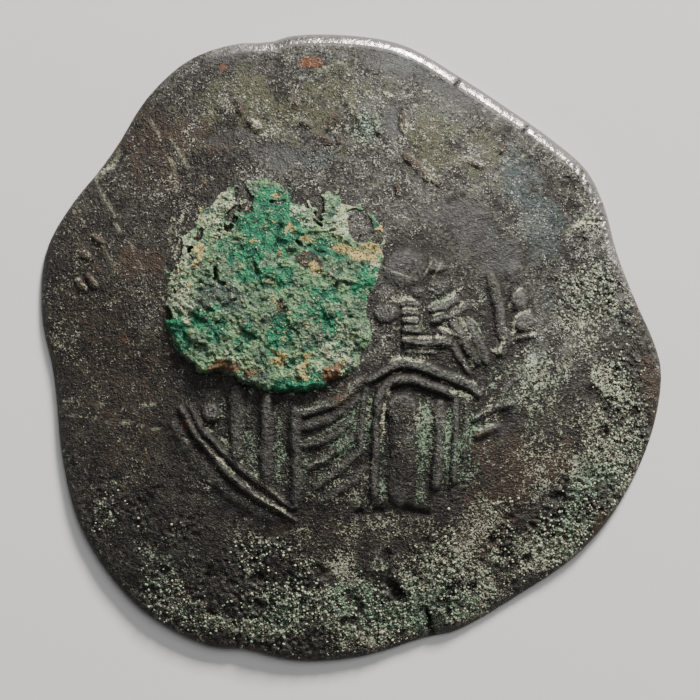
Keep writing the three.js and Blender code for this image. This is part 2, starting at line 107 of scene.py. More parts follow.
# Thin seams between the folds, where a pale deposit has settled
SEAMS = (
    (((15.9, 15.4), (18.3, 15.8), (20.6, 15.1)), 1.1, 0.8),
    (((16.6, 12.4), (19.3, 12.8), (22, 12.4)), 1.2, 1),
    (((16.6, 9.7), (19.3, 9.7), (22, 10.1)), 1.2, 0.9),
    (((17.3, 6.7), (19.6, 7), (22, 7.4)), 1.2, 1),
    (((17.3, 2.7), (20.6, 3.7), (25, 3.4), (30, 3.4)), 1.3, 1),
    (((18, 0.3), (23.3, -0.3), (28, 0), (31.7, 1)), 1.1, 0.9),
    (((18.3, -2.3), (23.3, -3.4), (28, -3)), 1, 0.7),
    (((25, 13.4), (28.4, 15.1), (32.4, 16.4), (34.1, 18.5), (36.8, 19.5)), 1.5, 1),
    (((25.7, 10.7), (30, 11.4)), 1.1, 0.8),
    (((35.1, 13.1), (36.4, 14.4), (37.8, 14.8)), 1.5, 0.9),
    (((28.7, 6.4), (32.4, 5), (34.4, 3), (36.8, -0.7), (38.8, -4), (40.8, -6.7)), 1.1, 0.9),
    (((35.4, 9.1), (37.4, 5.4), (39.4, 1), (42.1, -2.7), (43.8, -5)), 1, 0.8),
    (((37.4, 9.7), (40.8, 7.7), (42.8, 4.4), (45.1, 0.3), (46.8, -1.7)), 1.1, 0.7),
    (((12.6, -4.4), (16.6, -3.7), (20.6, -4.7), (25, -5.4), (30, -7), (34.1, -9.1),
      (37.4, -10.4), (41.8, -12.4), (43.8, -13.8)), 1.3, 1),
    (((8.2, -12.8), (11.6, -10.4), (14.9, -8.4), (20, -8.1), (25, -9.4), (29.4, -10.7),
      (32.1, -12.1), (34.1, -14.4)), 1.2, 1),
    (((11.2, -27.5), (11.2, -20.8), (11.9, -16.8), (14.3, -14.1), (17.6, -13.4), (22.3, -13.4),
      (26, -14.4), (29.4, -16.1)), 1.2, 0.8),
    (((35.1, -14.1), (38.4, -15.8), (43.5, -16.4)), 1.2, 0.8),
    (((52.2, 13.4), (52.9, 16.8), (55.2, 19.1), (57.2, 19.1)), 1.2, 1),
    (((54.2, 5), (53.9, 8.7), (55.6, 11.4), (59.6, 12.4)), 1.2, 1),
    (((54.5, 2.7), (56.9, 3.7), (60.9, 4.4)), 1.5, 1),
    (((43.5, 26.2), (45.1, 22.8), (45.8, 19.5), (47.2, 14.4)), 1, 0.6),
    (((50.2, 1), (47.5, -1.3), (46.8, -3.4)), 1.6, 0.9),
    (((40.1, -22.8), (43.5, -20.8), (46.8, -19.1), (51.5, -18.5)), 1.1, 0.9),
    (((40.1, -26.9), (43.5, -26.5), (46.2, -25.2)), 1.2, 0.8),
    (((49.2, -16.8), (51.2, -13.4), (53.5, -11.4)), 1.2, 0.6),
    (((-56.2, -20.8), (-53.9, -24.2), (-49.8, -28.2), (-46.5, -32.6), (-43.1, -36.3),
      (-39.1, -39.6), (-34.4, -44.3), (-29.7, -48.7), (-22, -53), (-17.3, -56.1)), 1.3, 1),
    (((-47.2, -25.5), (-43.1, -28.2), (-39.8, -31.6), (-37.8, -34.2)), 1.2, 0.7),
    (((-36.1, -35.9), (-32.1, -41), (-27.7, -45), (-20.3, -51)), 1.2, 0.6),
    (((-55.6, -30.9), (-51.2, -38.3), (-45.5, -44.3)), 1, 0.5),
    (((2.5, -12.1), (-1.8, -16.4), (-6.9, -18.8), (-17, -20.5)), 1.3, 0.7),
    (((0.5, -20.5), (-3.5, -24.2), (-9.6, -27.9), (-15.9, -30.5)), 1.4, 0.7),
    (((0.5, -29.5), (-3.5, -32.9), (-8.6, -36.3), (-14.3, -38.3)), 1.3, 0.6),
    (((-0.2, -36.9), (-5.2, -39.6), (-10.9, -43.6)), 1.2, 0.5),
    (((-77, 66.5), (-77.7, 63.8), (-80.1, 61.4), (-82.4, 59.4), (-84.4, 58.1)), 1.7, 1),
    (((-85.1, 56.4), (-82.7, 56.4), (-81.1, 57.1)), 1.6, 1),
    (((72, 37.6), (75, 40.6), (79.7, 42.3), (83.8, 40.6)), 1.5, 1),
    (((-37.1, 61.1), (-35.8, 58.4), (-35.1, 54.7)), 1.3, 1),
    (((35.1, 87.6), (37.1, 89.3)), 1.2, 1), (((56.6, 70.5), (58.2, 72.5), (60.9, 73.5)), 1.4, 1),
    (((-46.2, 55.7), (-44.8, 53), (-44.5, 49)), 1.4, 0.8),
    (((-52.5, 51), (-54.9, 46.3), (-55.9, 42.3)), 1.8, 0.8),
    (((80.4, 17.1), (83.1, 17.8)), 1.6, 1), (((74, 17.8), (76, 18.8)), 1.6, 0.9),
    (((-48.8, -86.6), (-46.8, -90)), 1.5, 1), (((-51.5, -94), (-49.5, -98)), 1.5, 0.7),
    (((-43.1, -91.3), (-39.8, -94), (-35.1, -94)), 2, 0.8),
    (((7.9, -65.8), (9.9, -70.5), (11.2, -73.2)), 1.6, 0.8),
    (((-91.5, -5.7), (-90.5, -9.4)), 1.2, 0.7), (((-69.7, -1.3), (-69, -3)), 1.3, 0.9),
)
# Short worn strokes above the figure and at the left, which aren't letters, as (points, width)
LEGEND = (
    (((-19.6, 84.3), (-17.6, 80.6)), 3.12), (((-15.9, 74.5), (-12.9, 72.2)), 2.6),
    (((-12.3, 70.2), (-6.9, 67.5)), 2.6), (((-4.2, 68.5), (0.5, 64.5)), 3.12),
    (((-8.6, 71.8), (-4.5, 76.5)), 2.6), (((18, 63.4), (26, 55.7)), 3.38),
    (((38.1, 63.1), (44.1, 59.8)), 2.6), (((-37.1, 81.9), (-36.1, 77.2)), 2.6),
    (((-34.4, 74.9), (-30.4, 72.5)), 2.6), (((0.5, 79.2), (2.5, 75.2)), 2.86),
    (((7.6, 76.5), (9.2, 70.5)), 2.34), (((17.3, 77.2), (18, 70.5)), 2.6),
    (((11.2, 84.9), (13.9, 82.2)), 2.6), (((26.7, 56.4), (29.4, 54)), 2.6),
    (((-89.1, 31.6), (-86.8, 30.2)), 2.6), (((-85.1, 37.6), (-82.7, 34.9)), 2.34),
    (((-91.1, 22.8), (-88.8, 19.8)), 2.6), (((-87.1, 23.8), (-84.8, 20.8)), 2.6),
    (((50.2, 65.5), (51.5, 67.8)), 1.82), (((15.6, 54.7), (15.3, 50.7)), 1.82),
)
# Broad pale green runs on the ground between the folds
STREAKS = (
    (((25, -16.1), (23.7, -27.5), (23, -41), (22.7, -51)), 4, 1),
    (((32.1, -16.8), (31.7, -27.5), (31.1, -41)), 2, 1),
    (((36.1, -27.5), (35.8, -35.9), (35.8, -45)), 1.7, 0.8),
    (((38.8, -15.8), (39.1, -24.2), (38.8, -31.6)), 2.4, 0.8),
    (((9.6, -30.2), (9.9, -37.6), (10.9, -51)), 1.9, 1),
    (((6.2, -13.4), (6.2, -22.5), (5.2, -31.6)), 2.4, 0.9),
    (((1.8, -18.1), (-0.2, -27.5), (-3.5, -34.2)), 6, 0.75),
    (((-41.8, -15.4), (-41.5, -24.2), (-40.8, -31.6)), 3.4, 0.7),
    (((-32.4, -13.4), (-32.7, -25.8), (-31.4, -41)), 4.4, 0.85),
    (((-23.3, -18.1), (-23.3, -30.9), (-23.7, -44.3)), 4, 0.85),
    (((14.9, -4), (9.2, -8.1), (4.9, -12.1)), 3, 0.7),
    (((32.4, 1), (33.4, -3.4), (35.4, -7.4)), 2.6, 0.8),
    (((22.7, 11.1), (23, 7.7), (23.7, 4.4)), 2.4, 0.9),
)
# The groove under the figure's hem, carved, and painted dark as its shadow
HEM_HOLLOW = ((2.2, -53.7), (8.2, -53.4), (13.9, -52.7), (20, -53), (25.3, -54))
# Raised ovals as (x, y, half width, half height, share of the relief, turn in degrees)
BOSSES = (
    (17, -20.5, 5.2, 5.6, 1, 0), (11.5, 11, 4.2, 3.4, 0.7, 0),
    (-45.5, -21, 3.5, 3.5, 1, 0), (-47, -27.5, 1.8, 1.8, 0.6, 0),
    (55.5, 16, 3.3, 4, 0.9, 10), (57, 8.5, 3.7, 3.9, 1, 0), (54, 25, 3.4, 3.2, 0.4, 0),
    (49, -1, 2.3, 2.3, 0.8, 0),
    (18.5, 26, 8.5, 6.4, 0.8, 20), (27.5, 27, 4.2, 3.2, 0.9, -20),
    (29, 19.5, 4, 2.6, 0.7, 25), (21.5, 18, 2.2, 2, 0.6, 0),
)
BODY_MOUNDS = ((-8, 8, 42, 44, 1, 0), (0, -30, 50, 27, 0.8, 0), (-14, 40, 16, 17, 0.6, 0))
PITS = (
    (15, -80.5, 5.2, 2.6, 1, -58), (68.5, -49.5, 2.8, 2.2, 0.6, 0), (52, -68, 2.6, 2.6, 0.6, 0),
    (80.5, -15, 4, 2.6, 0.6, -30), (84, -28, 2.4, 2.8, 0.6, 0), (-10, -73, 2.8, 2.8, 0.5, 0),
    (11.5, -68, 2.4, 2, 0.5, 0), (58.5, -70, 2.2, 1.8, 0.5, 0), (72, -62, 2, 2.4, 0.4, 0),
    (40, -80, 2, 1.6, 0.5, 20), (-32, -70, 1.8, 1.4, 0.4, 0), (88, -8, 1.8, 2.2, 0.5, 0),
    (36, 88.6, 0.9, 2.6, 0.7, -35), (58, 73, 0.9, 2.6, 0.7, -45), (-78, 64, 2.2, 5, 0.5, -40),
)
SCRATCHES = (
    ((-85.5, 56.5), (-70.7, 29.5), (-67.3, 21)), ((-94, 47), (-84, 36), (-76.5, 25)),
    ((-66.6, 76.5), (-58.9, 61.5), (-57.2, 49.7)), ((-61.3, 73.8), (-55.5, 63), (-52.2, 53)),
    ((-98, -16.8), (-77.4, -19), (-60.6, -18)), ((-97.5, -21.5), (-67.3, -26), (-50.5, -31)),
    ((40, 52), (52, 60), (66, 71)), ((-20, 88), (-8, 93), (6, 96)),
    ((44.5, 79), (47.5, 82.5)), ((46.5, 77.5), (50, 81.5)), ((49, 76), (52.5, 80)),
    ((3, 29), (20, 22.5)), ((24, 23), (27, 29)), ((27, 22), (30, 28)),
)
CRACKS = (
    ((72, 37.3), (75.4, 41.3), (83.8, 42.3)), ((-77.4, 66.5), (-80, 61.4), (-84.1, 58),
    (-84.8, 55.7)),
)
CRUST_OUTLINE = (
    (13, 1.0), (22, 1.08), (40, 1.15), (58, 1.02), (71, 0.84), (82, 0.96), (97, 1.0),
    (112, 0.95), (137, 0.97), (165, 0.94), (187, 0.99), (210, 0.99), (230, 0.95), (250, 0.87),
    (273, 0.89), (296, 1.0), (316, 1.02), (335, 0.95), (354, 0.86),
)
FISSURES = (
    (((-14.6, 47.7), (-13.3, 44.6), (-11.6, 41.6), (-9.6, 39.9)), 1.3, 1),
    (((-17.6, 34.2), (-15.3, 32.2), (-12.9, 32.6), (-8.6, 30.2)), 1.5, 1),
    (((-44.1, 28.9), (-44.5, 25.5), (-43.5, 21.1), (-41.1, 20.5)), 2.0, 0.7),
    (((-26.5, 47.6), (-24, 47), (-21.5, 47.8)), 1.4, 0.8),
)
# Gaps in the crust where the metal shows
CRUST_GAPS = (
    (3, 39.5, 4, 5.5, 1, 20), (-17, 49.5, 3.4, 3.6, 1, 0), (9, 36, 2.5, 2.5, 0.8, 0),
    (-36, 51, 4.5, 5, 0.9, -30),
    (-47, 50, 4, 5, 0.9, -25), (-11, 47, 1.8, 6, 0.7, 15), (9.5, 46, 5, 4, 0.9, 0),
    (-38.5, 43, 2.2, 6, 0.8, -20), (-52, 43, 2, 5, 0.7, -20), (-44.5, 24, 1.6, 3.4, 0.6, 0),
    (-58, 30, 2.6, 7, 0.8, -12), (-50.5, 35, 1.2, 5, 0.6, -25), (-59.5, 12, 2, 4, 0.7, 10),
    (-33, 47.5, 1.4, 3.5, 0.7, -30), (1.5, 47.5, 5, 1.8, 0.6, -15),
)
# The crust's middle and the radius of the hollow side's line border, in hundredths too
CRUST_MIDDLE = (-25.5, 19.5)
BORDER_RADIUS = 78

# Bearings in degrees from +x
GRIT_BEARING = -48
SPLIT_BEARING = 286
# The painted highlight on the rim faces the key light's bearing
HIGHLIGHT_BEARING = 66

# Lengths in millimetres. Nothing of the rim lies nearer to the middle than RIM_FROM.
RIM_FROM = 12
SPLIT_LENGTH = 1.7
# How far in from the rim the rubbed metal and its painted highlight reach
RUB_AND_HIGHLIGHT_INSET = 0.75
UPPER_EDGE_INSETS = (0.34, 0.22, 0.12, 0.05, 0)
LOWER_EDGE_INSETS = (0.3, 0.14, 0.035)
CRUST_CELL = 0.03
CRUST_ROOT = 0.15
REVERSE_CELL = 0.06

# The most grains on a square millimetre, and the colour of the specks on them
METAL_GRAINS = 80
CRUST_GRAINS = 40
GRAIN_SPECKS = (0.02, 0.018, 0.016)

# Where the surface changes colour, as soft ovals laid out as the bosses are
STAINS = {
    "rust": (
        (-66, 27, 4, 7, 0.45, 10), (-49, 52.5, 3.4, 4.5, 0.6, 0), (-11.9, 94.5, 6, 2.8, 1.1, 0),
        (80.5, 60, 2, 4, 1, 30), (-54, -25, 1.6, 3.4, 0.9, 20), (-42, 93, 1.4, 1.2, 1, 0),
        (11.6, 15, 1.0, 0.9, 1, 0), (-2, -9.5, 4.5, 3, 0.5, 40), (-4, -17, 5, 2, 0.6, 35),
        (-8, 4, 3, 2, 0.7, 0), (-74, 3, 2, 2, 0.7, 0),
    ),
    "umber": (
        (54, -40, 22, 17, 0.9, 0), (46, -62, 22, 9, 0.8, 25), (-73.3, 28.9, 6.7, 10.7, 0.9, 0),
        (-84.1, 12.8, 11.4, 13.4, 0.5, 0), (-98.2, -7.4, 5.4, 16.8, 0.6, 0),
        (-76, -5, 28, 50, 0.55, 0),
        (-62, 70, 20, 24, 0.7, 30),
        (-63.9, 28.9, 4.7, 6.7, 0.9, 20), (87.1, -57.7, 5.4, 16.8, 0.9, -38),
        (100.5, -17.5, 3, 15.1, 0.9, 8), (16.6, -99.7, 14.8, 3, 0.8, 10),
        (-33.7, -101.4, 16.8, 2.7, 0.6, -5), (-50.5, -12.4, 8.4, 3.4, 0.6, 0),
        (-17, -59.4, 20.1, 4, 0.6, 0), (26.7, 61.4, 12.1, 6.7, 0.5, -20),
        (40.1, 49.7, 16.8, 8.7, 0.35, -20), (-40.4, -71.2, 16.8, 10.1, 0.4, 0),
        (-85.8, -24.2, 10.1, 13.4, 0.35, 0), (97.2, 16.1, 2.3, 13.4, 0.7, -20),
        (43.5, -91.3, 13.4, 2.7, 0.8, 28),
    ),
    "powder": (
        (3.9, -83.9, 25.2, 15.4, 0.8, 0), (-17, -84.6, 15.1, 12.1, 0.6, 0),
        (-33.7, -92.6, 16.8, 4, 0.75, -8), (-50.5, -88.6, 8.7, 4, 0.6, -20),
        (86.4, -24.2, 13, 30, 0.75, 8), (80.4, 16.1, 11, 22, 0.4, 0),
        (61.9, -66.1, 24.2, 10.1, 0.85, 38), (40.1, -81.9, 18.5, 8.7, 0.75, 20),
        (61, -25, 17, 22, 0.5, 0), (30, -71.2, 13.4, 12.8, 0.6, 0),
        (-65.6, -77.9, 16.1, 8.1, 0.45, -50), (-80.1, -56.1, 6.7, 11.4, 0.25, 0),
        (-94.8, 1, 6, 8.7, 0.3, 0), (-35.4, 76.5, 11.4, 8.7, 0.18, 0),
        (-20.3, 81.6, 8.7, 7.4, 0.3, 0), (-0.2, 76.5, 12.1, 13.4, 0.25, 0),
        (26.7, 69.8, 13.4, 8.7, 0.2, 0), (77, 51.4, 8.7, 11.4, 0.3, 0),
        (81.1, 40.3, 5.4, 4.7, 0.5, 0), (71, -6.7, 4.7, 3.4, 0.6, 0),
        (-57.2, 66.5, 8.4, 10.1, 0.12, 0), (26.7, -34.2, 20.1, 16.8, 0.4, 0),
        (44, -54, 24, 9, 0.55, 22), (4, -60, 26, 6, 0.55, 5), (-30, -66, 16, 7, 0.4, -10),
        (-6.9, -41, 20.1, 12.1, 0.35, 0), (-62.3, 53, 4.7, 4.7, 0.2, 0),
        (-87, 24.5, 4, 5, 0.3, 0), (-3.5, -71.2, 13.4, 7.4, 0.8, 0),
        (78.7, -42.6, 6.7, 8.7, 0.7, 0),
    ),
    "verdigris": (
        (-1, -26, 7.5, 11, 0.9, 40), (10.9, -41, 1.4, 10, 1, 0), (22.6, -41, 1.8, 11, 1, 0),
        (37.4, -34, 4, 13, 0.8, 0), (84, -45, 9, 10, 0.7, 0), (20, -84.6, 26, 11, 0.7, 0),
        (-22, -86, 20, 8, 0.6, 0), (-35.4, -27.5, 2.4, 9, 0.8, 0), (-22.7, -27.5, 2.4, 10, 0.8, 0),
        (30, 24, 6, 9, 0.5, 0), (72, -54, 10, 9, 0.7, 0), (42, 14, 4, 10, 0.6, 0),
        (-60, -72, 14, 8, 0.5, 0), (44, -6, 5, 9, 0.6, 0), (60, -12, 14, 16, 0.3, 0),
        (34, -34, 14, 16, 0.5, 0), (-10, -30, 14, 16, 0.4, 0),
        (-11.9, 90, 6, 2.4, 0.9, 0), (4.9, 73, 5, 5, 0.8, 0), (-62, 6, 3, 6, 0.5, 0),
    ),
    "cream": (
        (14.9, 16.1, 4.5, 1.1, 1, 5), (13.3, 5.4, 2.5, 1.4, 1, 0), (31, 5.4, 3.4, 1, 1, -15),
        (35, -15.1, 5.5, 1.1, 1, -15), (12.6, -15.1, 1.6, 1.8, 1, 0), (46.2, -12.4, 1.3, 1.4, 1, 0),
        (0.5, -12.4, 2.3, 1.2, 1, 40), (-19.6, -15.1, 1.5, 1.2, 1, 0), (7.2, -38.3, 0.8, 1.6, 1, 0),
        (50.2, 2.7, 1.2, 2.6, 1, 0), (48, -1, 2, 1.4, 1, 0), (-19.3, 82.2, 2, 2.7, 1, 0),
        (-31.1, 74.2, 2.3, 2.3, 0.7, 0), (0.5, 89, 2.7, 1.3, 0.7, 0), (12.6, 83.9, 2, 1.7, 0.6, 0),
        (17.6, 69.8, 1.2, 4.7, 0.3, 0), (26.7, 55.1, 3, 1.3, 0.9, -35),
        (-33.1, -73.9, 2, 2, 0.8, 0), (8.2, -71.2, 4, 2.7, 0.7, -40), (83.8, -15.8, 6.7, 4, 0.6, 0),
        (84.8, -35.9, 4.7, 7.4, 0.5, 0), (14.9, -87.9, 4.7, 3.4, 0.5, 0),
        (-57, 36, 3, 9, 0.7, 8), (-61, 14, 2.5, 8, 0.6, 0), (-48, 55, 4, 3, 0.5, 40),
        (-79.5, 61.5, 1.3, 5.5, 1, -40),
        (79, 41.5, 6, 1.1, 1, 10),
    ),
    "olive": (
        (-3.5, 86.6, 16.8, 6.7, 0.7, 0), (-17, 75.9, 18.8, 8.7, 0.7, 0),
        (-37.1, 79.9, 12.8, 12.1, 0.6, 0), (26.7, 74.9, 11.4, 6.7, 0.8, -20),
        (30, 63.8, 14.8, 6.7, 0.9, -20), (43.5, 66.5, 9.4, 6, 0.6, -30), (51.9, 53, 6, 4, 0.5, 0),
        (-50.5, 73.2, 10.1, 10.1, 0.4, 0), (3.2, 66.5, 8.1, 4.7, 0.5, 0),
    ),
    "slate": (
        (4.9, 74.5, 5.4, 5.4, 0.9, 0), (-6.9, 61.4, 10.7, 5, 0.8, 0),
        (56.9, 56.4, 9.4, 9.4, 0.8, 0),
        (63.6, 37.9, 7.4, 16.1, 0.8, 0), (55.2, 66.5, 4.7, 4.4, 0.6, 0),
        (33.4, 76.5, 9.4, 4, 0.5, -30), (-87.4, 26.2, 6, 7.4, 0.4, 0),
        (14.6, 66.5, 4.4, 3.4, 0.6, 0),
        (65.3, 19.5, 4.7, 8.1, 0.5, 0),
    ),
    "polish": (
        (-25.3, 63.8, 14.8, 4.7, 1, -5), (11.6, 96.7, 16.8, 5.4, 0.9, -14),
        (12.9, 74.9, 3.7, 6.7, 0.9, 0),
        (37.4, 82.6, 20.8, 3.4, 0.9, -33), (35.1, 37.9, 18.5, 12.1, 0.6, -30),
        (50.2, 28.9, 14.8, 8.7, 0.7, -20), (18.3, 26.9, 9.4, 6.7, 0.8, 0),
        (-40.4, 96.7, 10.1, 3, 0.6, 15),
        (51.9, -25.5, 8.7, 4.7, 0.8, 20), (-35.4, -55.1, 20.8, 4.7, 0.7, -18),
        (12.6, -79.2, 4, 7.4, 1, 35), (-40.4, 69.2, 8.7, 4, 0.7, 0),
        (-63.9, -30.9, 13.4, 4.7, 0.5, -25), (-77.4, 44.6, 4.7, 8.1, 0.4, 30),
    ),
}
CRUST_STAINS = {
    "green": (
        (-31, 37, 17, 8.5, 1, 10), (-24.3, 48, 8.4, 3.8, 1, 0), (-8.5, 12.8, 10, 11, 0.9, 0),
        (-54.5, 2.7, 4.4, 9, 1, 25), (-25.3, 1, 15, 10, 0.75, 0), (-17, -12.4, 14, 4.4, 0.8, 5),
        (-5.2, 31.2, 10, 3.6, 0.8, -20), (7.2, 38, 2.2, 7, 1, 5), (-45.5, 7.7, 8, 6, 0.8, 0),
        (5, 20, 6, 9, 0.6, 0), (-28, 22, 8, 5, 0.8, 0),
    ),
    "pale": (
        (-52.2, 34.6, 6, 11, 0.8, -10), (-55.6, 16, 5.5, 11, 0.8, 0), (-13.6, 44.6, 6.5, 5, 1, 0),
        (-1.8, 41.3, 8, 6, 0.8, 0), (-3.5, -0.7, 7, 9, 0.6, 0), (-40.5, 48, 6.5, 5, 0.7, 0),
        (-36, -4, 5, 4, 0.6, 0), (9, 28, 4, 7, 0.8, 0), (-20, -6, 6, 3, 0.6, 0),
        (-45, 40, 6, 6, 0.8, 0),
    ),
    "slate": (
        (-42.1, 15.1, 9.5, 6, 1, 0), (3.9, 39, 4.2, 5.4, 1, 20), (-17, 50.5, 3.6, 4, 1, 0),
        (-35, 50, 3.4, 5, 0.9, -30), (-30, 14, 7, 4, 0.6, 0), (-46, 46, 3, 6, 0.8, -25),
    ),
    "umber": (
        (-22.7, 13.4, 3, 4.4, 1, 0), (-56, 17, 3, 2.4, 0.9, 0), (-13.6, 27.9, 5, 3, 0.9, -20),
        (-10, 4, 2.6, 2.2, 0.6, 0), (-41, 42, 5, 8, 0.75, -20), (-51, 33, 5, 9, 0.55, 0),
        (-54, 18, 4, 6, 0.6, 0), (-57, 27, 3, 9, 0.7, -10), (-35, 45, 3, 5, 0.8, -30),
    ),
    "ochre": (
        (-16, 49, 1.4, 3, 1, 0), (7, 31, 3, 3, 0.9, 0), (10, 38, 2, 3, 0.9, 0),
        (-50, 30, 1.6, 5, 0.7, -15),
        (-23, -3, 4, 3, 0.8, 0), (-14, -4, 3, 3, 0.7, 0), (-20.5, 38.5, 3, 1.2, 1, 0),
        (-13.6, 34.9, 5.6, 1.3, 1, -20), (-24.3, 49.7, 3, 2, 1, 0), (-1.8, 31.2, 9, 1.8, 1, -15),
        (-20.3, 39.6, 2, 1.2, 1, 0), (-11, 25.2, 3, 2.2, 0.9, -40), (-31.5, 35.2, 3, 1.3, 0.9, 10),
        (-52, 20, 1.6, 1.4, 1, 0), (-16, -9.5, 4, 1.8, 0.8, 0), (-34, -4, 2, 1.2, 0.9, 0),
        (3, 30, 3, 1.6, 0.9, 0), (-50.5, 45, 2, 3, 0.7, 20),
    ),
    "rust": ((-41, -6.5, 6, 3, 1, 5), (-4.5, -7, 6.5, 4.2, 1.2, 40), (-33, -8, 3, 2, 0.9, 0)),
}


# Sizes and colours that a user would change

def length(name, description, default):
    """A property that is a length, whose default is given in millimetres."""
    return bpy.props.FloatProperty(
        name=name, description=description, default=default * MM, min=0, precision=5,
        unit="LENGTH",
    )


def mm(value):
    """A length property in millimetres."""
    return value / MM


def share(name, description, default):
    """A property that is a share of something, from 0 to 1."""
    return bpy.props.FloatProperty(
        name=name, description=description, default=default, min=0, max=1, subtype="FACTOR"
    )


def colour(name, description, default):
    """A property that is a colour."""
    return bpy.props.FloatVectorProperty(
        name=name, description=description, default=default, min=0, max=1, subtype="COLOR"
    )


class CoinFlanSettings(bpy.types.PropertyGroup):
    """Sizes of the struck flan."""

    thickness: length("Thickness", "Thickness of the metal", 0.66)
    dish: length("Dish", "Height of the dome above the rim", 3.1)
    rounding: length("Edge rounding", "Width of the rounded edge", 0.45)
    die_radius: length("Die radius", "Radius of the die", 14)
    relief: length("Relief", "Height of the figure's folds", 0.3)
    body: length("Body", "Height of the figure's soft mass", 0.2)
    legend: length("Legend", "Height of the strokes above the figure", 0.16)
    reverse: length("Reverse relief", "Height of the cross and border", 0.16)
    pit: length("Pits", "Depth of the pits", 0.2)
    wear: share("Wear", "How far the tops of the relief are worn down", 0.35)
    rings: bpy.props.IntProperty(
        name="Rings", description="Rings of the dome's mesh", default=104, min=20, max=160
    )


class CoinCrustSettings(bpy.types.PropertyGroup):
    """Sizes of the corrosion crust and of the grains."""

    reach: length("Reach", "Radius of the crust", 5.3)
    thick: length("Thick side", "Thickness at the lower left", 0.56)
    thin: length("Thin side", "Thickness at the upper right", 0.2)
    grain: length("Grain", "Radius of a corrosion grain", 0.058)
    rings: bpy.props.IntProperty(
        name="Rings", description="Rings of the crust's mesh", default=160, min=20, max=180
    )
    seed: bpy.props.IntProperty(name="Seed", description="Seed of what is scattered", default=7)


class CoinColourSettings(bpy.types.PropertyGroup):
    """Colours of the metal and of what has grown on it."""

    # The darkest patina, also painted as shade in the relief's hollows and in the hem's groove
    dark: colour("Dark metal", "Colour of the hollows of the patina", (0.014, 0.012, 0.01))
    patina: colour("Patina", "Main colour of the patina", (0.046, 0.042, 0.034))
    # Worn metal colours the rubbed tops, and is also painted as light on the side facing the lamps
    worn: colour("Worn metal", "Colour of the rubbed tops", (0.128, 0.129, 0.114))
    # Painted glints: near-white specks that stand for sparkles of the lamps on the grains
    painted_glint: colour("Glints", "Colour of the finest bright grains", (0.54, 0.55, 0.5))
    # Bare metal of the rubbed rim, painted brighter as a highlight on the side facing the key light
    bright: colour("Bare metal", "Colour of the rubbed rim", (0.3, 0.285, 0.27))
    olive: colour("Olive", "Colour of the upper field", (0.085, 0.083, 0.045))
    slate: colour("Slate", "Colour of the bluish film", (0.05, 0.08, 0.082))
    satin: colour("Satin metal", "Colour of the smooth worn areas", (0.05, 0.049, 0.047))
    umber: colour("Umber", "Colour of the brown patina", (0.056, 0.036, 0.024))
    rust: colour("Rust", "Colour of the rust stains", (0.15, 0.055, 0.02))
    cream: colour("Cream", "Colour of the pale deposit", (0.52, 0.51, 0.36))
    verdigris: colour("Verdigris", "Colour of the pale green deposit", (0.23, 0.32, 0.21))
    malachite: colour("Malachite", "Colour of the crust", (0.022, 0.225, 0.1))
    # Deep green, also painted as shade in the crust's hollows and fissures
    deep: colour("Deep green", "Colour of the crust's hollows", (0.004, 0.05, 0.032))
    moss: colour("Moss", "Colour of the crust's smooth patches", (0.075, 0.1, 0.078))
    leaf: colour("Leaf", "Colour of the crust between its patches", (0.19, 0.34, 0.155))
    pale: colour("Pale crust", "Colour of the crust's grains", (0.46, 0.5, 0.33))
    ochre: colour("Ochre", "Colour of the crust's yellow grains", (0.5, 0.36, 0.13))


class CoinStageSettings(bpy.types.PropertyGroup):
    """Floor, camera and lights."""

    floor: bpy.props.FloatProperty(
        name="Floor", description="Width of the floor", default=1.2, min=0, unit="LENGTH"
    )
    lens: bpy.props.FloatProperty(
        name="Lens", description="Focal length of the camera", default=100, min=1, unit="CAMERA"
    )
    pixel: length("Pixel", "What one pixel of the photograph covers", 0.047)
    middle: bpy.props.FloatVectorProperty(
        name="Middle", description="Pixel of the coin's middle", default=(350.5, 348), size=2
    )
    key: bpy.props.FloatProperty(
        name="Key light", description="Strength of the low main light", default=2.6, min=0,
        unit="POWER",
    )
    fill: bpy.props.FloatProperty(
        name="Soft box", description="Strength of the soft light above", default=1.4, min=0,
        unit="POWER",
    )
    grey: colour("Floor colour", "Colour of the floor", (0.72, 0.71, 0.69))


# Noise and drawing on a fine grid of the coin's plan

TABLE = 256


def smooth(t):
    """Eases from 0 to 1 as t does."""
    t = np.clip(t, 0, 1)
    return t * t * (3 - 2 * t)


def random_table(seed, layers=1):
    """A square table of random numbers from 0 to 1."""
    return np.random.default_rng(seed).random((layers, TABLE, TABLE), dtype=np.float32)


def hills(x, y, size, seed):
    """Soft hills from -1 to 1, about `size` across, turned by the seed."""
    table = random_table(seed)[0] * 2 - 1
    turn = seed * 2.4
    u = (x * math.cos(turn) - y * math.sin(turn)) / size
    v = (x * math.sin(turn) + y * math.cos(turn)) / size
    i = np.floor(u).astype(np.int32)
    j = np.floor(v).astype(np.int32)
    s = smooth(u - i)
    t = smooth(v - j)
    i0, i1, j0, j1 = i % TABLE, (i + 1) % TABLE, j % TABLE, (j + 1) % TABLE
    low = table[i0, j0] * (1 - s) + table[i1, j0] * s
    high = table[i0, j1] * (1 - s) + table[i1, j1] * s
    return low * (1 - t) + high * t


def clouds(x, y, size, seed, octaves=4):
    """Hills with finer hills on them, from -1 to 1."""
    shares = [0.55 ** k for k in range(octaves)]
    total = sum(share * hills(x, y, size * 0.5 ** k, seed + k) for k, share in enumerate(shares))
    return total / sum(shares) * 1.5


def ridges(x, y, size, seed, octaves=3):
    """Winding crests from 0 to 1, about `size` apart."""
    shares = [0.5 ** k for k in range(octaves)]
    total = sum(
        share * (1 - np.abs(hills(x, y, size * 0.5 ** k, seed + k))) ** 2
        for k, share in enumerate(shares)
    )
    return total / sum(shares)


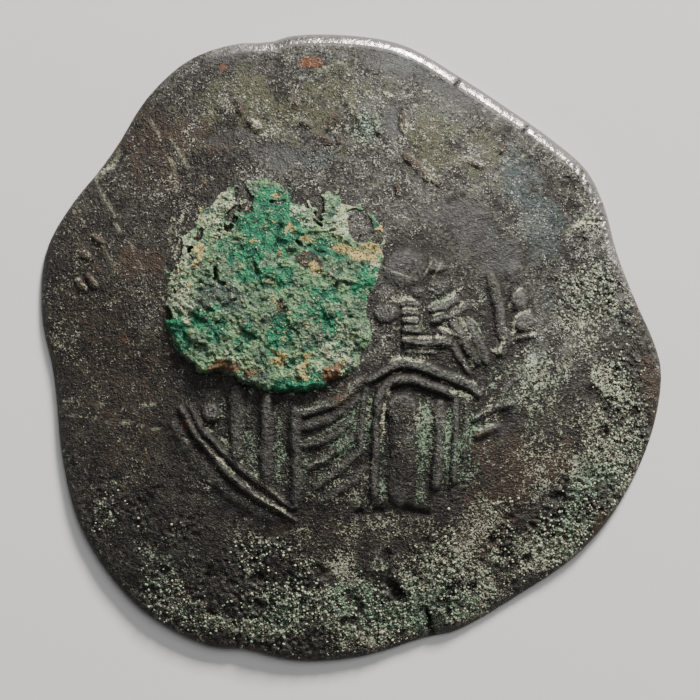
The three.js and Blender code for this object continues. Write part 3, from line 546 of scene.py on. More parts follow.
def cells(x, y, size, seed):
    """For each of the nine cells round a point: the square of the way to the cell's own random
    spot, and the cell's random number."""
    table = random_table(seed, 3)
    i = np.floor(x / size).astype(np.int32)
    j = np.floor(y / size).astype(np.int32)
    for di in (-1, 0, 1):
        for dj in (-1, 0, 1):
            column, row = (i + di) % TABLE, (j + dj) % TABLE
            dx = x - (i + di + table[0, column, row]) * size
            dy = y - (j + dj + table[1, column, row]) * size
            yield dx * dx + dy * dy, table[2, column, row]


def pebbles(x, y, size, seed):
    """Rounded grains about `size` apart: 1 at a grain's top and 0 between grains."""
    best = np.zeros_like(x)
    for away, number in cells(x, y, size, seed):
        reach = size * (0.35 + 0.45 * number)
        best = np.maximum(best, 1 - away / (reach * reach))
    return np.sqrt(best)


def plates(x, y, size, seed):
    """Flat flakes about `size` across, each at its own height from -1 to 1."""
    nearest = np.full_like(x, 9 * size * size)
    level = np.zeros_like(x)
    for away, number in cells(x, y, size, seed):
        level = np.where(away < nearest, number * 2 - 1, level)
        nearest = np.minimum(nearest, away)
    return level


def smooth_line(points, steps=8):
    """Points along a smooth curve through the given ones."""
    knots = np.array([points[0], *points, points[-1]], dtype=float)
    t = np.linspace(0, 1, steps, endpoint=False)[:, None]
    pieces = []
    for a, b, c, d in zip(knots, knots[1:], knots[2:], knots[3:]):
        pieces.append(
            0.5 * (2 * b + (c - a) * t + (2 * a - 5 * b + 4 * c - d) * t**2
                   + (3 * b - a - 3 * c + d) * t**3)
        )
    return np.concatenate([*pieces, knots[-1:]])


class Sheet:
    """A fine square grid over part of the plan, on which heights and masks are drawn."""

    WOBBLE = 0.09

    def __init__(self, middle, half, cell):
        count = int(half / cell)
        steps = (np.arange(-count, count + 1) * cell).astype(np.float32)
        self.cell = cell
        self.low = np.array(middle) - count * cell
        self.x, self.y = np.meshgrid(steps + middle[0], steps + middle[1])
        self.bent_x = self.x + self.WOBBLE * clouds(self.x, self.y, 1.1, 3, 3)
        self.bent_y = self.y + self.WOBBLE * clouds(self.x, self.y, 1.1, 13, 3)

    def blank(self):
        """A field of zeros."""
        return np.zeros_like(self.x)

    def window(self, low, high):
        """The rows and columns that cover a box of the plan."""
        size = len(self.x)
        first = np.clip(((low - self.low) / self.cell).astype(int), 0, size)
        last = np.clip(((high - self.low) / self.cell).astype(int) + 2, 0, size)
        return slice(first[1], last[1]), slice(first[0], last[0])

    def stroke(self, field, points, width, height, unit, taper=0.35):
        """Raises a rounded band along a smooth line, narrower at its ends."""
        line = smooth_line(points) * unit
        reach = width * unit / 2
        margin = reach + 2 * self.WOBBLE
        place = self.window(line.min(0) - margin, line.max(0) + margin)
        x, y = self.bent_x[place], self.bent_y[place]
        best = np.zeros_like(x)
        count = len(line) - 1
        for k in range(count):
            a, side = line[k], line[k + 1] - line[k]
            t = ((x - a[0]) * side[0] + (y - a[1]) * side[1]) / max(side @ side, 1e-12)
            t = np.clip(t, 0, 1)
            away = (x - a[0] - t * side[0]) ** 2 + (y - a[1] - t * side[1]) ** 2
            along = 2 * (k + t) / count - 1
            best = np.maximum(best, 1 - away / (reach * (1 - taper * along**6)) ** 2)
        np.maximum(field[place], height * best**0.6, out=field[place])

    def drawing(self, strokes, unit):
        """A field with the given strokes."""
        field = self.blank()
        for points, width, height in strokes:
            self.stroke(field, points, width, height, unit)
        return field

    def oval(self, x, y, across, along, turn, unit):
        """How deep each point lies inside an oval: 1 in its middle, 0 at its edge, less outside."""
        angle = math.radians(turn)
        dx, dy = self.bent_x - x * unit, self.bent_y - y * unit
        u = (dx * math.cos(angle) + dy * math.sin(angle)) / (across * unit)
        v = (dy * math.cos(angle) - dx * math.sin(angle)) / (along * unit)
        return 1 - u * u - v * v

    def mounds(self, ovals, unit, power=1.0):
        """The sum of rounded ovals."""
        field = self.blank()
        for x, y, across, along, height, turn in ovals:
            field += height * np.clip(self.oval(x, y, across, along, turn, unit), 0, 1) ** power
        return field

    def stain(self, ovals, unit, seed):
        """A mask of ragged soft ovals, from 0 to 1."""
        ragged = 0.55 * clouds(self.x, self.y, 1.4, seed, 5)
        field = self.blank()
        for x, y, across, along, strength, turn in ovals:
            inside = smooth(self.oval(x, y, across, along, turn, unit) * 0.6 + 0.35 + ragged)
            field = np.maximum(field, strength * inside)
        return field

    def blurred(self, field, reach):
        """The field averaged twice over squares of the given half width."""
        steps = max(int(round(reach / self.cell)), 1)
        for _ in range(2):
            for axis in (0, 1):
                padded = np.pad(
                    field, [(steps + 1, steps) if k == axis else (0, 0) for k in (0, 1)], "edge"
                )
                total = np.cumsum(padded, axis=axis, dtype=np.float64)
                span = 2 * steps + 1
                size = field.shape[axis]
                high = np.take(total, range(span, span + size), axis=axis)
                low = np.take(total, range(size), axis=axis)
                field = ((high - low) / span).astype(np.float32)
        return field

    def read(self, field, x, y):
        """Reads a field between the grid's points."""
        top = len(self.x) - 1.001
        u = np.clip((x - self.low[0]) / self.cell, 0, top)
        v = np.clip((y - self.low[1]) / self.cell, 0, top)
        i, j = u.astype(int), v.astype(int)
        s, t = u - i, v - j
        near = field[j, i] * (1 - s) + field[j, i + 1] * s
        far = field[j + 1, i] * (1 - s) + field[j + 1, i + 1] * s
        return near * (1 - t) + far * t


# The bare flan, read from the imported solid

class Flan:
    """The plain metal under the relief: its outline and rim from the solid, its dish by formula."""

    STATIONS = 1440

    def __init__(self, settings):
        self.thickness = mm(settings.thickness)
        self.dish = mm(settings.dish)
        self.rounding = mm(settings.rounding)
        rim = self.rim_points()
        bearing = np.arctan2(rim[:, 1], rim[:, 0])
        order = np.argsort(bearing)
        self.bearings = np.linspace(-math.pi, math.pi, self.STATIONS, endpoint=False)
        turn = 2 * math.pi
        self.reaches = np.interp(
            self.bearings, bearing[order], np.hypot(rim[order, 0], rim[order, 1]), period=turn
        )
        self.heights = np.interp(self.bearings, bearing[order], rim[order, 2], period=turn)
        self.drop = -self.heights.min()

    @staticmethod
    def rim_points():
        """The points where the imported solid's upper and lower faces meet, in millimetres."""
        mesh = bmesh.new()
        mesh.from_mesh(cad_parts[NODE].data)
        bmesh.ops.remove_doubles(mesh, verts=mesh.verts, dist=MM * 1e-3)
        mesh.normal_update()
        points = {
            tuple(v.co / MM)
            for edge in mesh.edges
            if len(edge.link_faces) == 2
            and edge.link_faces[0].normal.z * edge.link_faces[1].normal.z < 0
            for v in edge.verts
        }
        mesh.free()
        points = np.array(sorted(points))
        return points[np.hypot(points[:, 0], points[:, 1]) > RIM_FROM]

    def reach(self, bearing):
        """How far the rim reaches at a bearing, with its chips."""
        return np.interp(bearing, self.bearings, self.reaches, period=2 * math.pi)

    def middle(self, x, y):
        """The height of the metal's middle, and the inset from the rim, at points of the plan."""
        bearing = np.arctan2(y, x)
        reach = self.reach(bearing)
        share = np.minimum(np.hypot(x, y) / reach, 1)
        rim = np.interp(bearing, self.bearings, self.heights, period=2 * math.pi) + self.drop
        height = self.dish * (1 - share**2) + rim * share**4 - self.drop
        return height, (1 - share) * reach

    def half(self, inset):
        """Half of the metal's thickness at an inset from the rim."""
        edge = np.minimum(inset / self.rounding, 1)
        return self.thickness / 2 * np.sqrt(1 - (1 - edge) ** 2)


# The relief of the domed side

class Obverse:
    """The heights and masks of the domed side, drawn on one sheet."""

    CELL = 0.04
    HALF = 15.3

    def __init__(self, flan, settings, seed):
        unit = mm(settings.die_radius) / 100
        sheet = Sheet((0, 0), self.HALF, self.CELL)
        x, y = sheet.x, sheet.y
        self.sheet, self.unit = sheet, unit
        bearing = np.arctan2(y, x)
        out = np.hypot(x, y) / flan.reach(bearing)

        self.body = mm(settings.body) * sheet.mounds(BODY_MOUNDS, unit)

        # The figure: folds, hem and the deposits between them
        folds = sheet.blank()
        for points, width, height in BANDS:
            sheet.stroke(folds, points, width, height, unit)
        for bx, by, across, along, height, turn in BOSSES:
            depth = np.clip(sheet.oval(bx, by, across, along, turn, unit), 0, 1)
            np.maximum(folds, height * depth**0.6, out=folds)
        folds = sheet.blurred(np.minimum(folds, 0.55 + 0.4 * folds), 0.03)
        cloth = sheet.blurred(np.clip(folds * 2, 0, 1), 0.3)
        seams = sheet.drawing(SEAMS, unit)
        streaks = sheet.blurred(sheet.drawing(STREAKS, unit), 0.14)
        struck = 0.18 * cloth + 1.0 * folds * (1 + 0.25 * clouds(x, y, 0.7, seed, 4))
        struck -= settings.wear * np.clip(struck - 0.75, 0, None)
        struck *= 0.85 + 0.3 * clouds(x, y, 2.2, seed + 2, 3)
        hem = sheet.drawing(((HEM_HOLLOW, 4, 1),), unit)
        hem *= smooth(0.75 + 1.3 * clouds(x, y, 0.6, seed + 7, 3))
        legend = sheet.drawing([(points, width, 1) for points, width in LEGEND], unit)
        legend *= smooth(0.95 + 0.6 * clouds(x, y, 0.7, seed + 5, 3))

        scratches = sheet.drawing([(points, 0.45, 1) for points in SCRATCHES], unit)
        cracks = sheet.drawing([(points, 1.5, 1) for points in CRACKS], unit)
        pits = np.clip(sheet.mounds(PITS, unit, 0.5), 0, 1)
        small_pits = smooth((clouds(x, y, 0.9, seed + 9, 3) - 0.5) * 4)

        self.grit = self.grit_mask(sheet, out, bearing, seed)
        pits = np.maximum(pits, 0.45 * small_pits * smooth(self.grit * 2 - 0.3))
        self.split = self.rim_split(x, y, flan)
        worms = ridges(x, y, 0.42, seed + 20, 2)
        grains = pebbles(x, y, 0.22, seed + 24)
        rough = 0.7 * grains + 0.35 * worms + 0.4 * clouds(x, y, 0.9, seed + 22, 3) - 0.6
        fine = 0.5 * clouds(x, y, 0.35, seed + 31, 3) + 0.8 * clouds(x, y, 1.3, seed + 33, 3)

        self.relief = (
            mm(settings.relief) * struck + mm(settings.legend) * legend + 0.02 * fine
            + 0.17 * self.grit * rough - mm(settings.pit) * pits - 0.12 * hem
            + 0.02 * seams - 0.03 * scratches - 0.07 * cracks - 0.35 * self.split
        )
        self.uneven = 0.05 * clouds(x, y, 5, seed + 30, 3)
        # Dark corrosion pits, and the hem's groove painted dark as shade
        self.pits = np.maximum(pits, hem)
        self.scratches = np.maximum(scratches, cracks)
        self.figure = smooth(sheet.blurred(np.clip(struck, 0, 1), 0.25) * 5)
        self.seams = np.maximum(seams, 3.6 * legend * (1 - legend))
        self.legend = legend
        self.streaks = streaks
        # Hollows of the relief, which the finish paints dark as shade, and raised tops, which it
        # lightens as wear
        high = self.relief - sheet.blurred(self.relief, 0.2)
        self.hollow = smooth(-high / 0.05)
        self.worn = smooth(high / 0.05)
        self.stains = {
            name: sheet.stain(ovals, unit, 40 + 10 * k)
            for k, (name, ovals) in enumerate(STAINS.items())
        }

    @staticmethod
    def grit_mask(sheet, out, bearing, seed):
        """Where corrosion has made the surface granular: most round the lower right rim."""
        toward = np.cos(bearing - math.radians(GRIT_BEARING))
        weight = smooth(0.55 + 0.6 * toward)
        start = 0.7 - 0.1 * smooth(-0.2 - 1.4 * np.sin(bearing))
        edge = smooth((out - start + 0.12 * clouds(sheet.x, sheet.y, 2.4, seed + 60, 3)) / 0.22)
        patchy = smooth(0.62 + 0.8 * clouds(sheet.x, sheet.y, 1.6, seed + 64, 4))
        return np.clip(weight * edge * (0.35 + 0.65 * patchy) + 0.06 * patchy, 0, 1)

    @staticmethod
    def rim_split(x, y, flan):
        """A short crack that runs in from the rim at the bottom."""
        bearing = math.radians(SPLIT_BEARING)
        along = x * math.cos(bearing) + y * math.sin(bearing)
        across = y * math.cos(bearing) - x * math.sin(bearing)
        bend = 0.05 * np.sin(along * 4.5)
        open_from = flan.reach(np.array([bearing]))[0] - SPLIT_LENGTH
        width = 0.06 + 0.05 * np.clip(along - open_from, 0, None)
        side = np.clip(1 - np.abs(across - bend) / (width * 1.5), 0, 1)
        return smooth(side * 1.6) * smooth((along - open_from) / 0.3)

    def detail(self, x, y):
        """How finely the mesh needs to follow the surface: 1 for carving, 2 for thin lines."""
        thin = self.sheet.read(self.sheet.blurred(self.scratches + self.split, 0.08), x, y)
        carved = self.figure + self.grit + self.sheet.blurred(self.pits + 2 * self.legend, 0.1)
        carved = self.sheet.read(carved, x, y)
        return np.where(thin > 0.2, 2, np.where(carved > 0.4, 1, 0))


# Meshes

def disc(rings):
    """A disc of even triangles: each point's ring and turn, the triangles, and the first of each
    ring. Ring k has 6k points."""
    ring_of = np.concatenate([[0], *[np.full(6 * k, k) for k in range(1, rings + 1)]])
    turn_of = np.concatenate([[0], *[np.arange(6 * k) / (6 * k) for k in range(1, rings + 1)]])
    first = np.concatenate([[0], 1 + 3 * np.arange(rings + 1) * np.arange(1, rings + 2)])
    triangles = []
    for k in range(1, rings + 1):
        start, inner = first[k], first[k - 1]
        count, inner_count = 6 * k, max(6 * (k - 1), 1)
        sector, step = np.divmod(np.arange(count), k)
        outer = start + sector * k + step
        after = start + (sector * k + step + 1) % count
        below = inner + (sector * (k - 1) + step) % inner_count
        triangles.append(np.stack([outer, after, below], 1))
        if k > 1:
            keep = step < k - 1
            beside = inner + (sector * (k - 1) + step + 1) % inner_count
            triangles.append(np.stack([after, beside, below], 1)[keep])
    return ring_of, turn_of, np.concatenate(triangles), first


def make_mesh(name, points, triangles):
    """A smooth mesh object from points in millimetres."""
    mesh = bpy.data.meshes.new(name)
    mesh.from_pydata((points * MM).tolist(), [], triangles.tolist())
    mesh.validate()
    mesh.shade_smooth()
    piece = bpy.data.objects.new(name, mesh)
    bpy.context.scene.collection.objects.link(piece)
    return piece


def points_of(piece):
    """A mesh's points in millimetres."""
    flat = np.zeros(len(piece.data.vertices) * 3, dtype=np.float32)
    piece.data.vertices.foreach_get("co", flat)
    return flat.reshape(-1, 3) / MM


def place_points(piece, points):
    """Moves a mesh's points."""
    piece.data.vertices.foreach_set("co", (points * MM).astype(np.float32).ravel())
    piece.data.update()


def store(piece, name, values):
    """Keeps a number for each of a mesh's points, which materials and node trees read."""
    attribute = piece.data.attributes.new(name, "FLOAT", "POINT")
    attribute.data.foreach_set("value", np.asarray(values, dtype=np.float32))


def stored(piece, name):
    """The numbers that were stored on a mesh's points."""
    values = np.zeros(len(piece.data.vertices), dtype=np.float32)
    piece.data.attributes[name].data.foreach_get("value", values)
    return values


def split_edges(piece, detail_of, level):
    """Halves the edges whose two ends both need at least the given level of detail."""
    mesh = bmesh.new()
    mesh.from_mesh(piece.data)
    mesh.verts.ensure_lookup_table()
    needs = detail_of(points_of(piece)) >= level
    edges = [e for e in mesh.edges if needs[e.verts[0].index] and needs[e.verts[1].index]]
    bmesh.ops.subdivide_edges(mesh, edges=edges, cuts=1, use_grid_fill=True)
    bmesh.ops.triangulate(mesh, faces=mesh.faces)
    mesh.to_mesh(piece.data)
    mesh.free()


def flan_plan(flan, rings):
    """The flan's flat pattern: +1 above, -1 below and 0 on the rim they share."""
    upper_rings = rings + len(UPPER_EDGE_INSETS)
    lower_rings = upper_rings // 2
    parts = []
    for count, insets, level in (
        (upper_rings, UPPER_EDGE_INSETS, 1), (lower_rings, LOWER_EDGE_INSETS, -1)
    ):
        ring, turn, triangles, first = disc(count)
        bearing = 2 * math.pi * turn
        reach = flan.reach(bearing)
        open_rings = count - len(insets)
        last_inset = insets[0] + 0.12
        radius = (reach - last_inset) * ring / open_rings
        for k, inset in enumerate(insets):
            radius = np.where(ring == open_rings + 1 + k, reach - inset, radius)
        side = np.full_like(radius, level)
        points = np.stack([radius * np.cos(bearing), radius * np.sin(bearing), side], 1)
        parts.append((points, triangles, first))
    (upper, top_triangles, top_first), (lower, low_triangles, low_first) = parts
    rim_count = 6 * upper_rings
    rim = top_first[upper_rings] + np.arange(rim_count)
    upper[rim, 2] = 0
    low_count = 6 * lower_rings
    shift = len(upper)
    ring_below = shift + low_first[lower_rings] + np.arange(low_count)
    stitches = []
    i = j = 0
    while i < rim_count or j < low_count:
        if j == low_count or (i < rim_count and (i + 1) * low_count <= (j + 1) * rim_count):
            stitches.append((rim[(i + 1) % rim_count], rim[i], ring_below[j % low_count]))
            i += 1
        else:
            stitches.append((ring_below[j], ring_below[(j + 1) % low_count], rim[i % rim_count]))
            j += 1
    points = np.concatenate([upper, lower])
    triangles = np.concatenate([top_triangles, low_triangles[:, ::-1] + shift, np.array(stitches)])
    return points, triangles


# Materials

class Number:
    """A shader socket that Python's operators turn into Math nodes."""

    def __init__(self, tree, socket):
        self.tree = tree
        self.socket = socket

    def maths(self, operation, *values):
        """A Math node on the given values."""
        return self.tree.add("ShaderNodeMath", {"operation": operation}, dict(enumerate(values)))

    def __add__(self, other):
        """The sum of two values."""
        return self.maths("ADD", self, other)

    def __sub__(self, other):
        """This value less another."""
        return self.maths("SUBTRACT", self, other)

    def __mul__(self, other):
        """The product of two values."""
        return self.maths("MULTIPLY", self, other)

    def __rsub__(self, other):
        """A plain number less this value."""
        return self.maths("SUBTRACT", other, self)

    __radd__ = __add__

    def most(self, other):
        """The larger of two values."""
        return self.maths("MAXIMUM", self, other)

    def between(self, low, high):
        """Eases from 0 to 1 as the value goes from low to high."""
        return self.tree.add(
            "ShaderNodeMapRange", {"interpolation_type": "SMOOTHSTEP"},
            {"Value": self, "From Min": low, "From Max": high},
        )


class Tree:
    """Adds nodes to a shader or geometry tree and links them."""

    def __init__(self, nodes):
        self.nodes = nodes

    def add(self, kind, settings=None, inputs=None, output=0):
        """A node of the given type, as the value of one of its outputs."""
        node = self.nodes.nodes.new(kind)
        for name, value in (settings or {}).items():
            setattr(node, name, value)
        for name, value in (inputs or {}).items():
            self.plug(node.inputs[name], value)
        return Number(self, node.outputs[output])

    def plug(self, socket, value):
        """Links a value to a socket, or sets the socket to a plain one."""
        if isinstance(value, Number):
            self.nodes.links.new(value.socket, socket)
        else:
            socket.default_value = value


class Finish(Tree):
    """A material made of nodes around one surface shader."""

    def __init__(self, name):
        self.material = bpy.data.materials.new(name)
        self.material.use_nodes = True
        super().__init__(self.material.node_tree)
        self.shader = self.nodes.nodes["Principled BSDF"]
        place = self.add("ShaderNodeTexCoord", output="Object")
        self.place = self.add(
            "ShaderNodeMapping", inputs={"Vector": place, "Scale": (1 / MM,) * 3}
        )

    def mask(self, name):
        """A number stored on the mesh."""
        return self.add("ShaderNodeAttribute", {"attribute_name": name}, output="Fac")

    def noise(self, size, detail=3, roughness=0.6, distortion=0.0):
        """Cloudy noise from 0 to 1, about `size` millimetres across."""
        return self.add(
            "ShaderNodeTexNoise",
            inputs={"Vector": self.place, "Scale": 1 / size, "Detail": detail,
                    "Roughness": roughness, "Distortion": distortion},
        )

    def flakes(self, size, output="Color", feature="F1"):
        """A random number for each ragged flake about `size` millimetres across."""
        push = self.add(
            "ShaderNodeTexNoise", None,
            {"Vector": self.place, "Scale": 3 / size, "Detail": 3}, "Color",
        )
        place = self.add(
            "ShaderNodeVectorMath", {"operation": "MULTIPLY_ADD"},
            {0: push, 1: (size * 0.7,) * 3, 2: self.place},
        )
        return self.add(
            "ShaderNodeTexVoronoi", {"feature": feature},
            {"Vector": place, "Scale": 1 / size}, output,
        )

    def blend(self, low, high, factor):
        """One colour turning into another."""
        return self.add(
            "ShaderNodeMix", {"data_type": "RGBA"}, {0: factor, 6: paint(low), 7: paint(high)}, 2
        )

    def surface(self, **sockets):
        """Sets or links the shader's sockets, whose names are written with underscores."""
        for name, value in sockets.items():
            self.plug(self.shader.inputs[name.replace("_", " ")], value)

    def bump(self, height, depth, strength=1.0):
        """Small relief of the given depth in millimetres."""
        return self.add(
            "ShaderNodeBump", None, {"Height": height, "Distance": depth * MM, "Strength": strength}
        )


def paint(value):
    """A colour property as a socket's four numbers, or a link as it is."""
    return value if isinstance(value, Number) else (*value, 1)


def metal_finish(colours):
    """Dark patina full of pale grains, smooth where it is worn, with stains and pale deposits, and
    with painted light, glints, rim highlight and shade.
    """
    f = Finish("dark_patina")
    broad = f.noise(2.4, 4)
    medium = f.noise(0.6, 4, 0.6)
    grain = f.noise(0.27, 2, 0.6, 0.5)
    crinkle = f.noise(0.15, 3, 0.65, 0.4)
    dust = f.noise(0.075, 2, 0.65)
    mottle = f.noise(1.2, 5, 0.68, 0.3)
    rub_and_highlight, polish, hollow = f.mask("rub_and_highlight"), f.mask("polish"), f.mask("hollow")
    fine = crinkle * 0.6 + dust * 0.4
    shade = broad * 0.25 + medium * 0.3 + grain * 0.2 + crinkle * 0.5
    base = f.blend(colours.dark, colours.patina, shade.between(0.5, 0.74))
    # Painted light: the metal turns towards the worn colour on the side facing the lamps
    painted_light = f.mask("painted_light") * 0.4 + shade
    base = f.blend(base, colours.worn, painted_light.between(0.78, 1.2))
    olive = f.mask("olive") * 0.3 + mottle * 0.7 + medium * 0.3
    base = f.blend(base, colours.olive, olive.between(0.56, 0.74) * fine.between(0.3, 0.55) * 0.8)
    slate = f.mask("slate") * 0.3 + medium * 0.5 - mottle * 0.5
    base = f.blend(base, colours.slate, slate.between(0.1, 0.3) * fine.between(0.3, 0.55) * 0.6)
    worn = f.mask("worn") * 0.7 + f.mask("scratch") * 0.4
    base = f.blend(base, colours.worn, worn * crinkle.between(0.3, 0.65))
    umber = f.mask("umber") * 0.4 + medium * 0.4 + grain * 0.3
    base = f.blend(base, colours.umber, umber.between(0.5, 0.7) * 0.8)
    # Painted shade: darker in the relief's hollows
    base = f.blend(base, colours.dark, hollow)
    # Smooth worn patches, which are real wear, shown more strongly on the side facing the lamps as
    # painted light
    satin = polish * (0.3 + f.mask("painted_light")) + medium * 0.5
    base = f.blend(base, colours.satin, satin.between(0.52, 0.86) * 0.75)
    rust = f.mask("rust") * 0.45 + medium * 0.5 + crinkle * 0.6
    base = f.blend(base, colours.rust, rust.between(0.78, 1.05) * 0.8)
    powder = f.mask("deposit") * 0.5 + grain * 0.4 + fine * 0.6
    powder = powder.between(0.62, 0.82)
    tint = (f.mask("verdigris") * 0.7 + medium + dust * 0.4).between(0.65, 1.2)
    pale = f.blend(colours.cream, colours.verdigris, tint)
    pale = f.blend(colours.patina, pale, fine.between(0.36, 0.56))
    base = f.blend(base, pale, powder * 0.85)
    clump = f.noise(0.38, 2, 0.5, 0.6)
    specks = f.mask("speckle") * 0.24 + dust * 0.38 + crinkle * 0.4 + clump * 0.22
    specks = specks.between(0.59, 0.7)
    base = f.blend(base, pale, specks * 0.85)
    base = f.blend(base, colours.cream, f.mask("scratch") * crinkle.between(0.3, 0.6) * 0.55)
    # Dark pits, and painted shade in the hem's groove
    base = f.blend(base, colours.dark, f.mask("pit") * 0.85)
    # Painted glints: fine near-white specks, a few more towards the lamps, fewer in hollows and on
    # smooth patches
    painted_glint = dust * 0.7 + clump * 0.3 + f.mask("painted_light") * 0.12 - hollow * 0.08 - polish * 0.16
    painted_glint = painted_glint.between(0.665, 0.715)
    base = f.blend(base, colours.painted_glint, painted_glint * 0.8)
    # Rubbed metal on the rim, with a painted highlight on the side facing the key light
    bright = (rub_and_highlight + grain * 0.4 + crinkle * 0.3).between(0.75, 1.45)
    base = f.blend(base, colours.bright, bright * 0.85)
    chalk = powder.most(specks) * (1 - bright)
    quiet = (1 - bright * 0.95) * (1 - polish * 0.55)
    relief = grain * 0.6 + crinkle * 1.1 + dust * 0.5 + chalk * 0.25
    f.surface(
        Base_Color=base,
        Metallic=(1 - chalk) * 0.2 + bright * 0.7,
        Roughness=0.4 + fine * 0.3 + chalk * 0.2 - bright * 0.3 - polish * 0.1,
        Specular_IOR_Level=0.32,
        Normal=f.bump(relief * quiet, 0.1),
    )
    return f.material


def crust_finish(colours):
    """Malachite crust: flakes of green, cream, slate and brown with pale crumbs and veins, and
    painted shade in hollows.
    """
    f = Finish("malachite_crust")
    broad = f.noise(1.5, 4)
    medium = f.noise(0.55, 3, 0.55, 0.7)
    small = f.noise(0.21, 3, 0.6)
    fine = f.noise(0.085, 2, 0.6)
    flake = f.flakes(1.0)
    chip = f.flakes(0.34)
    edge = f.flakes(1.0, "Distance", "DISTANCE_TO_EDGE")
    green = (chip * 0.35 + medium * 0.5 + fine * 0.5).between(0.42, 0.85)
    green = f.blend(colours.deep, colours.malachite, green)
    leafy = (broad * 0.8 + chip * 0.2 + small * 0.5 + fine * 0.4).between(0.75, 1.15)
    leafy = f.blend(colours.moss, colours.leaf, leafy)
    mixed = f.mask("green") * 0.4 + flake * 0.35 + medium * 0.5 + small * 0.25
    base = f.blend(leafy, green, mixed.between(0.66, 0.78))
    slate = f.mask("slate") * 0.6 + chip * 0.25 + medium * 0.4
    base = f.blend(base, colours.moss, slate.between(0.6, 0.75))
    umber = f.mask("umber") * 0.5 + medium * 0.6 + fine * 0.3
    base = f.blend(base, colours.umber, umber.between(0.66, 0.82))
    cluster = f.noise(0.4, 3, 0.6, 0.9)
    crumbs = f.mask("pale") * 0.2 + cluster * 0.6 + small * 0.35 + fine * 0.45 - chip * 0.05
    crumbs = crumbs - f.mask("green") * 0.05
    vein = edge.between(0.09, 0.0) * medium.between(0.4, 0.6) * 0.1
    crumbs = (crumbs + vein).between(0.78, 0.86)
    base = f.blend(base, colours.pale, crumbs * fine.between(0.34, 0.5))
    salt = (fine * 0.65 + small * 0.25 + cluster * 0.2 + vein * 0.5).between(0.62, 0.68)
    base = f.blend(base, colours.pale, salt * 0.6)
    ochre = f.mask("ochre") * 0.22 + small * 0.6 + cluster * 0.6 + fine * 0.2
    base = f.blend(base, colours.ochre, ochre.between(0.8, 0.88) * fine.between(0.34, 0.5))
    rust = f.mask("rust") * 0.6 + medium * 0.4 + small * 0.4
    base = f.blend(base, colours.rust, rust.between(0.75, 1.0) * 0.9)
    # Painted shade: deep green in the crust's hollows and fissures
    base = f.blend(base, colours.deep, f.mask("hollow") * 0.85)
    base = f.blend(base, colours.deep, fine.between(0.46, 0.36) * 0.7)
    f.surface(
        Base_Color=base,
        Roughness=0.5 + fine * 0.4,
        Specular_IOR_Level=0.4,
        Normal=f.bump(fine * 1.0 + small * 1.0 + chip * 0.35, 0.15),
    )
    return f.material


def grain_finish(name, first, second, third):
    """Grains of three colours, chosen grain by grain, with dark specks."""
    f = Finish(name)
    kind = f.mask("kind")
    fine = f.noise(0.06, 2)
    base = f.blend(first, second, kind.between(0.3, 0.42))
    base = f.blend(base, third, kind.between(0.72, 0.8))
    base = f.blend(base, GRAIN_SPECKS, fine.between(0.6, 0.8) * 0.6)
    f.surface(
        Base_Color=base, Roughness=0.5 + fine * 0.4, Specular_IOR_Level=0.4,
        Normal=f.bump(fine, 0.02, 0.6),
    )
    return f.material


# Geometry Nodes

class GeometryTree(Tree):
    """A geometry node tree with named inputs."""

    def __init__(self, name, inputs):
        tree = bpy.data.node_groups.new(name, "GeometryNodeTree")
        super().__init__(tree)
        tree.interface.new_socket("Geometry", in_out="INPUT", socket_type="NodeSocketGeometry")
        tree.interface.new_socket("Geometry", in_out="OUTPUT", socket_type="NodeSocketGeometry")
        for label, kind in inputs.items():
            tree.interface.new_socket(label, in_out="INPUT", socket_type=kind)
        self.source = tree.nodes.new("NodeGroupInput")
        self.sink = tree.nodes.new("NodeGroupOutput")

    def given(self, label):
        """One of the tree's inputs."""
        return Number(self, self.source.outputs[label])

    def result(self, geometry):
        """The tree's output."""
        self.plug(self.sink.inputs["Geometry"], geometry)


def scatter_tree():
    """Scatters flattened grains over a surface, more where its "scatter" attribute is high."""
    t = GeometryTree("scattered_grains", {
        "Most per Area": "NodeSocketFloat", "Radius": "NodeSocketFloat",
        "Seed": "NodeSocketInt", "Finish": "NodeSocketMaterial",
    })
    where = t.add("GeometryNodeInputNamedAttribute", {"data_type": "FLOAT"}, {"Name": "scatter"})
    density = where * t.given("Most per Area")
    spread = t.add(
        "GeometryNodeDistributePointsOnFaces", None,
        {"Mesh": t.given("Geometry"), "Density": density, "Seed": t.given("Seed")},
    )
    grain = t.add("GeometryNodeMeshIcoSphere", None, {"Radius": 1.0, "Subdivisions": 1})
    size = t.add(
        "FunctionNodeRandomValue", {"data_type": "FLOAT"},
        {2: 0.45, 3: 1.25, "Seed": t.given("Seed")}, 1,
    )
    size = size * t.given("Radius")
    stretch = t.add(
        "FunctionNodeRandomValue", {"data_type": "FLOAT_VECTOR"},
        {0: (0.75, 0.75, 0.4), 1: (1.3, 1.3, 0.75), "Seed": 3}, 0,
    )
    scale = t.add(
        "ShaderNodeVectorMath", {"operation": "SCALE"}, {0: stretch, "Scale": size}
    )
    turn = t.add(
        "FunctionNodeRandomValue", {"data_type": "FLOAT_VECTOR"},
        {0: (-0.5, -0.5, 0), 1: (0.5, 0.5, 2 * math.pi), "Seed": 5}, 0,
    )
    placed = t.add(
        "GeometryNodeInstanceOnPoints", None,
        {"Points": spread, "Instance": grain, "Rotation": turn, "Scale": scale},
    )
    kind = t.add("FunctionNodeRandomValue", {"data_type": "FLOAT"}, {2: 0.0, 3: 1.0, "Seed": 9}, 1)
    marked = t.add(
        "GeometryNodeStoreNamedAttribute", {"data_type": "FLOAT", "domain": "INSTANCE"},
        {"Geometry": placed, "Name": "kind", "Value": kind},
    )
    solid = t.add("GeometryNodeRealizeInstances", None, {"Geometry": marked})
    t.result(t.add(
        "GeometryNodeSetMaterial", None, {"Geometry": solid, "Material": t.given("Finish")}
    ))
    return t.nodes


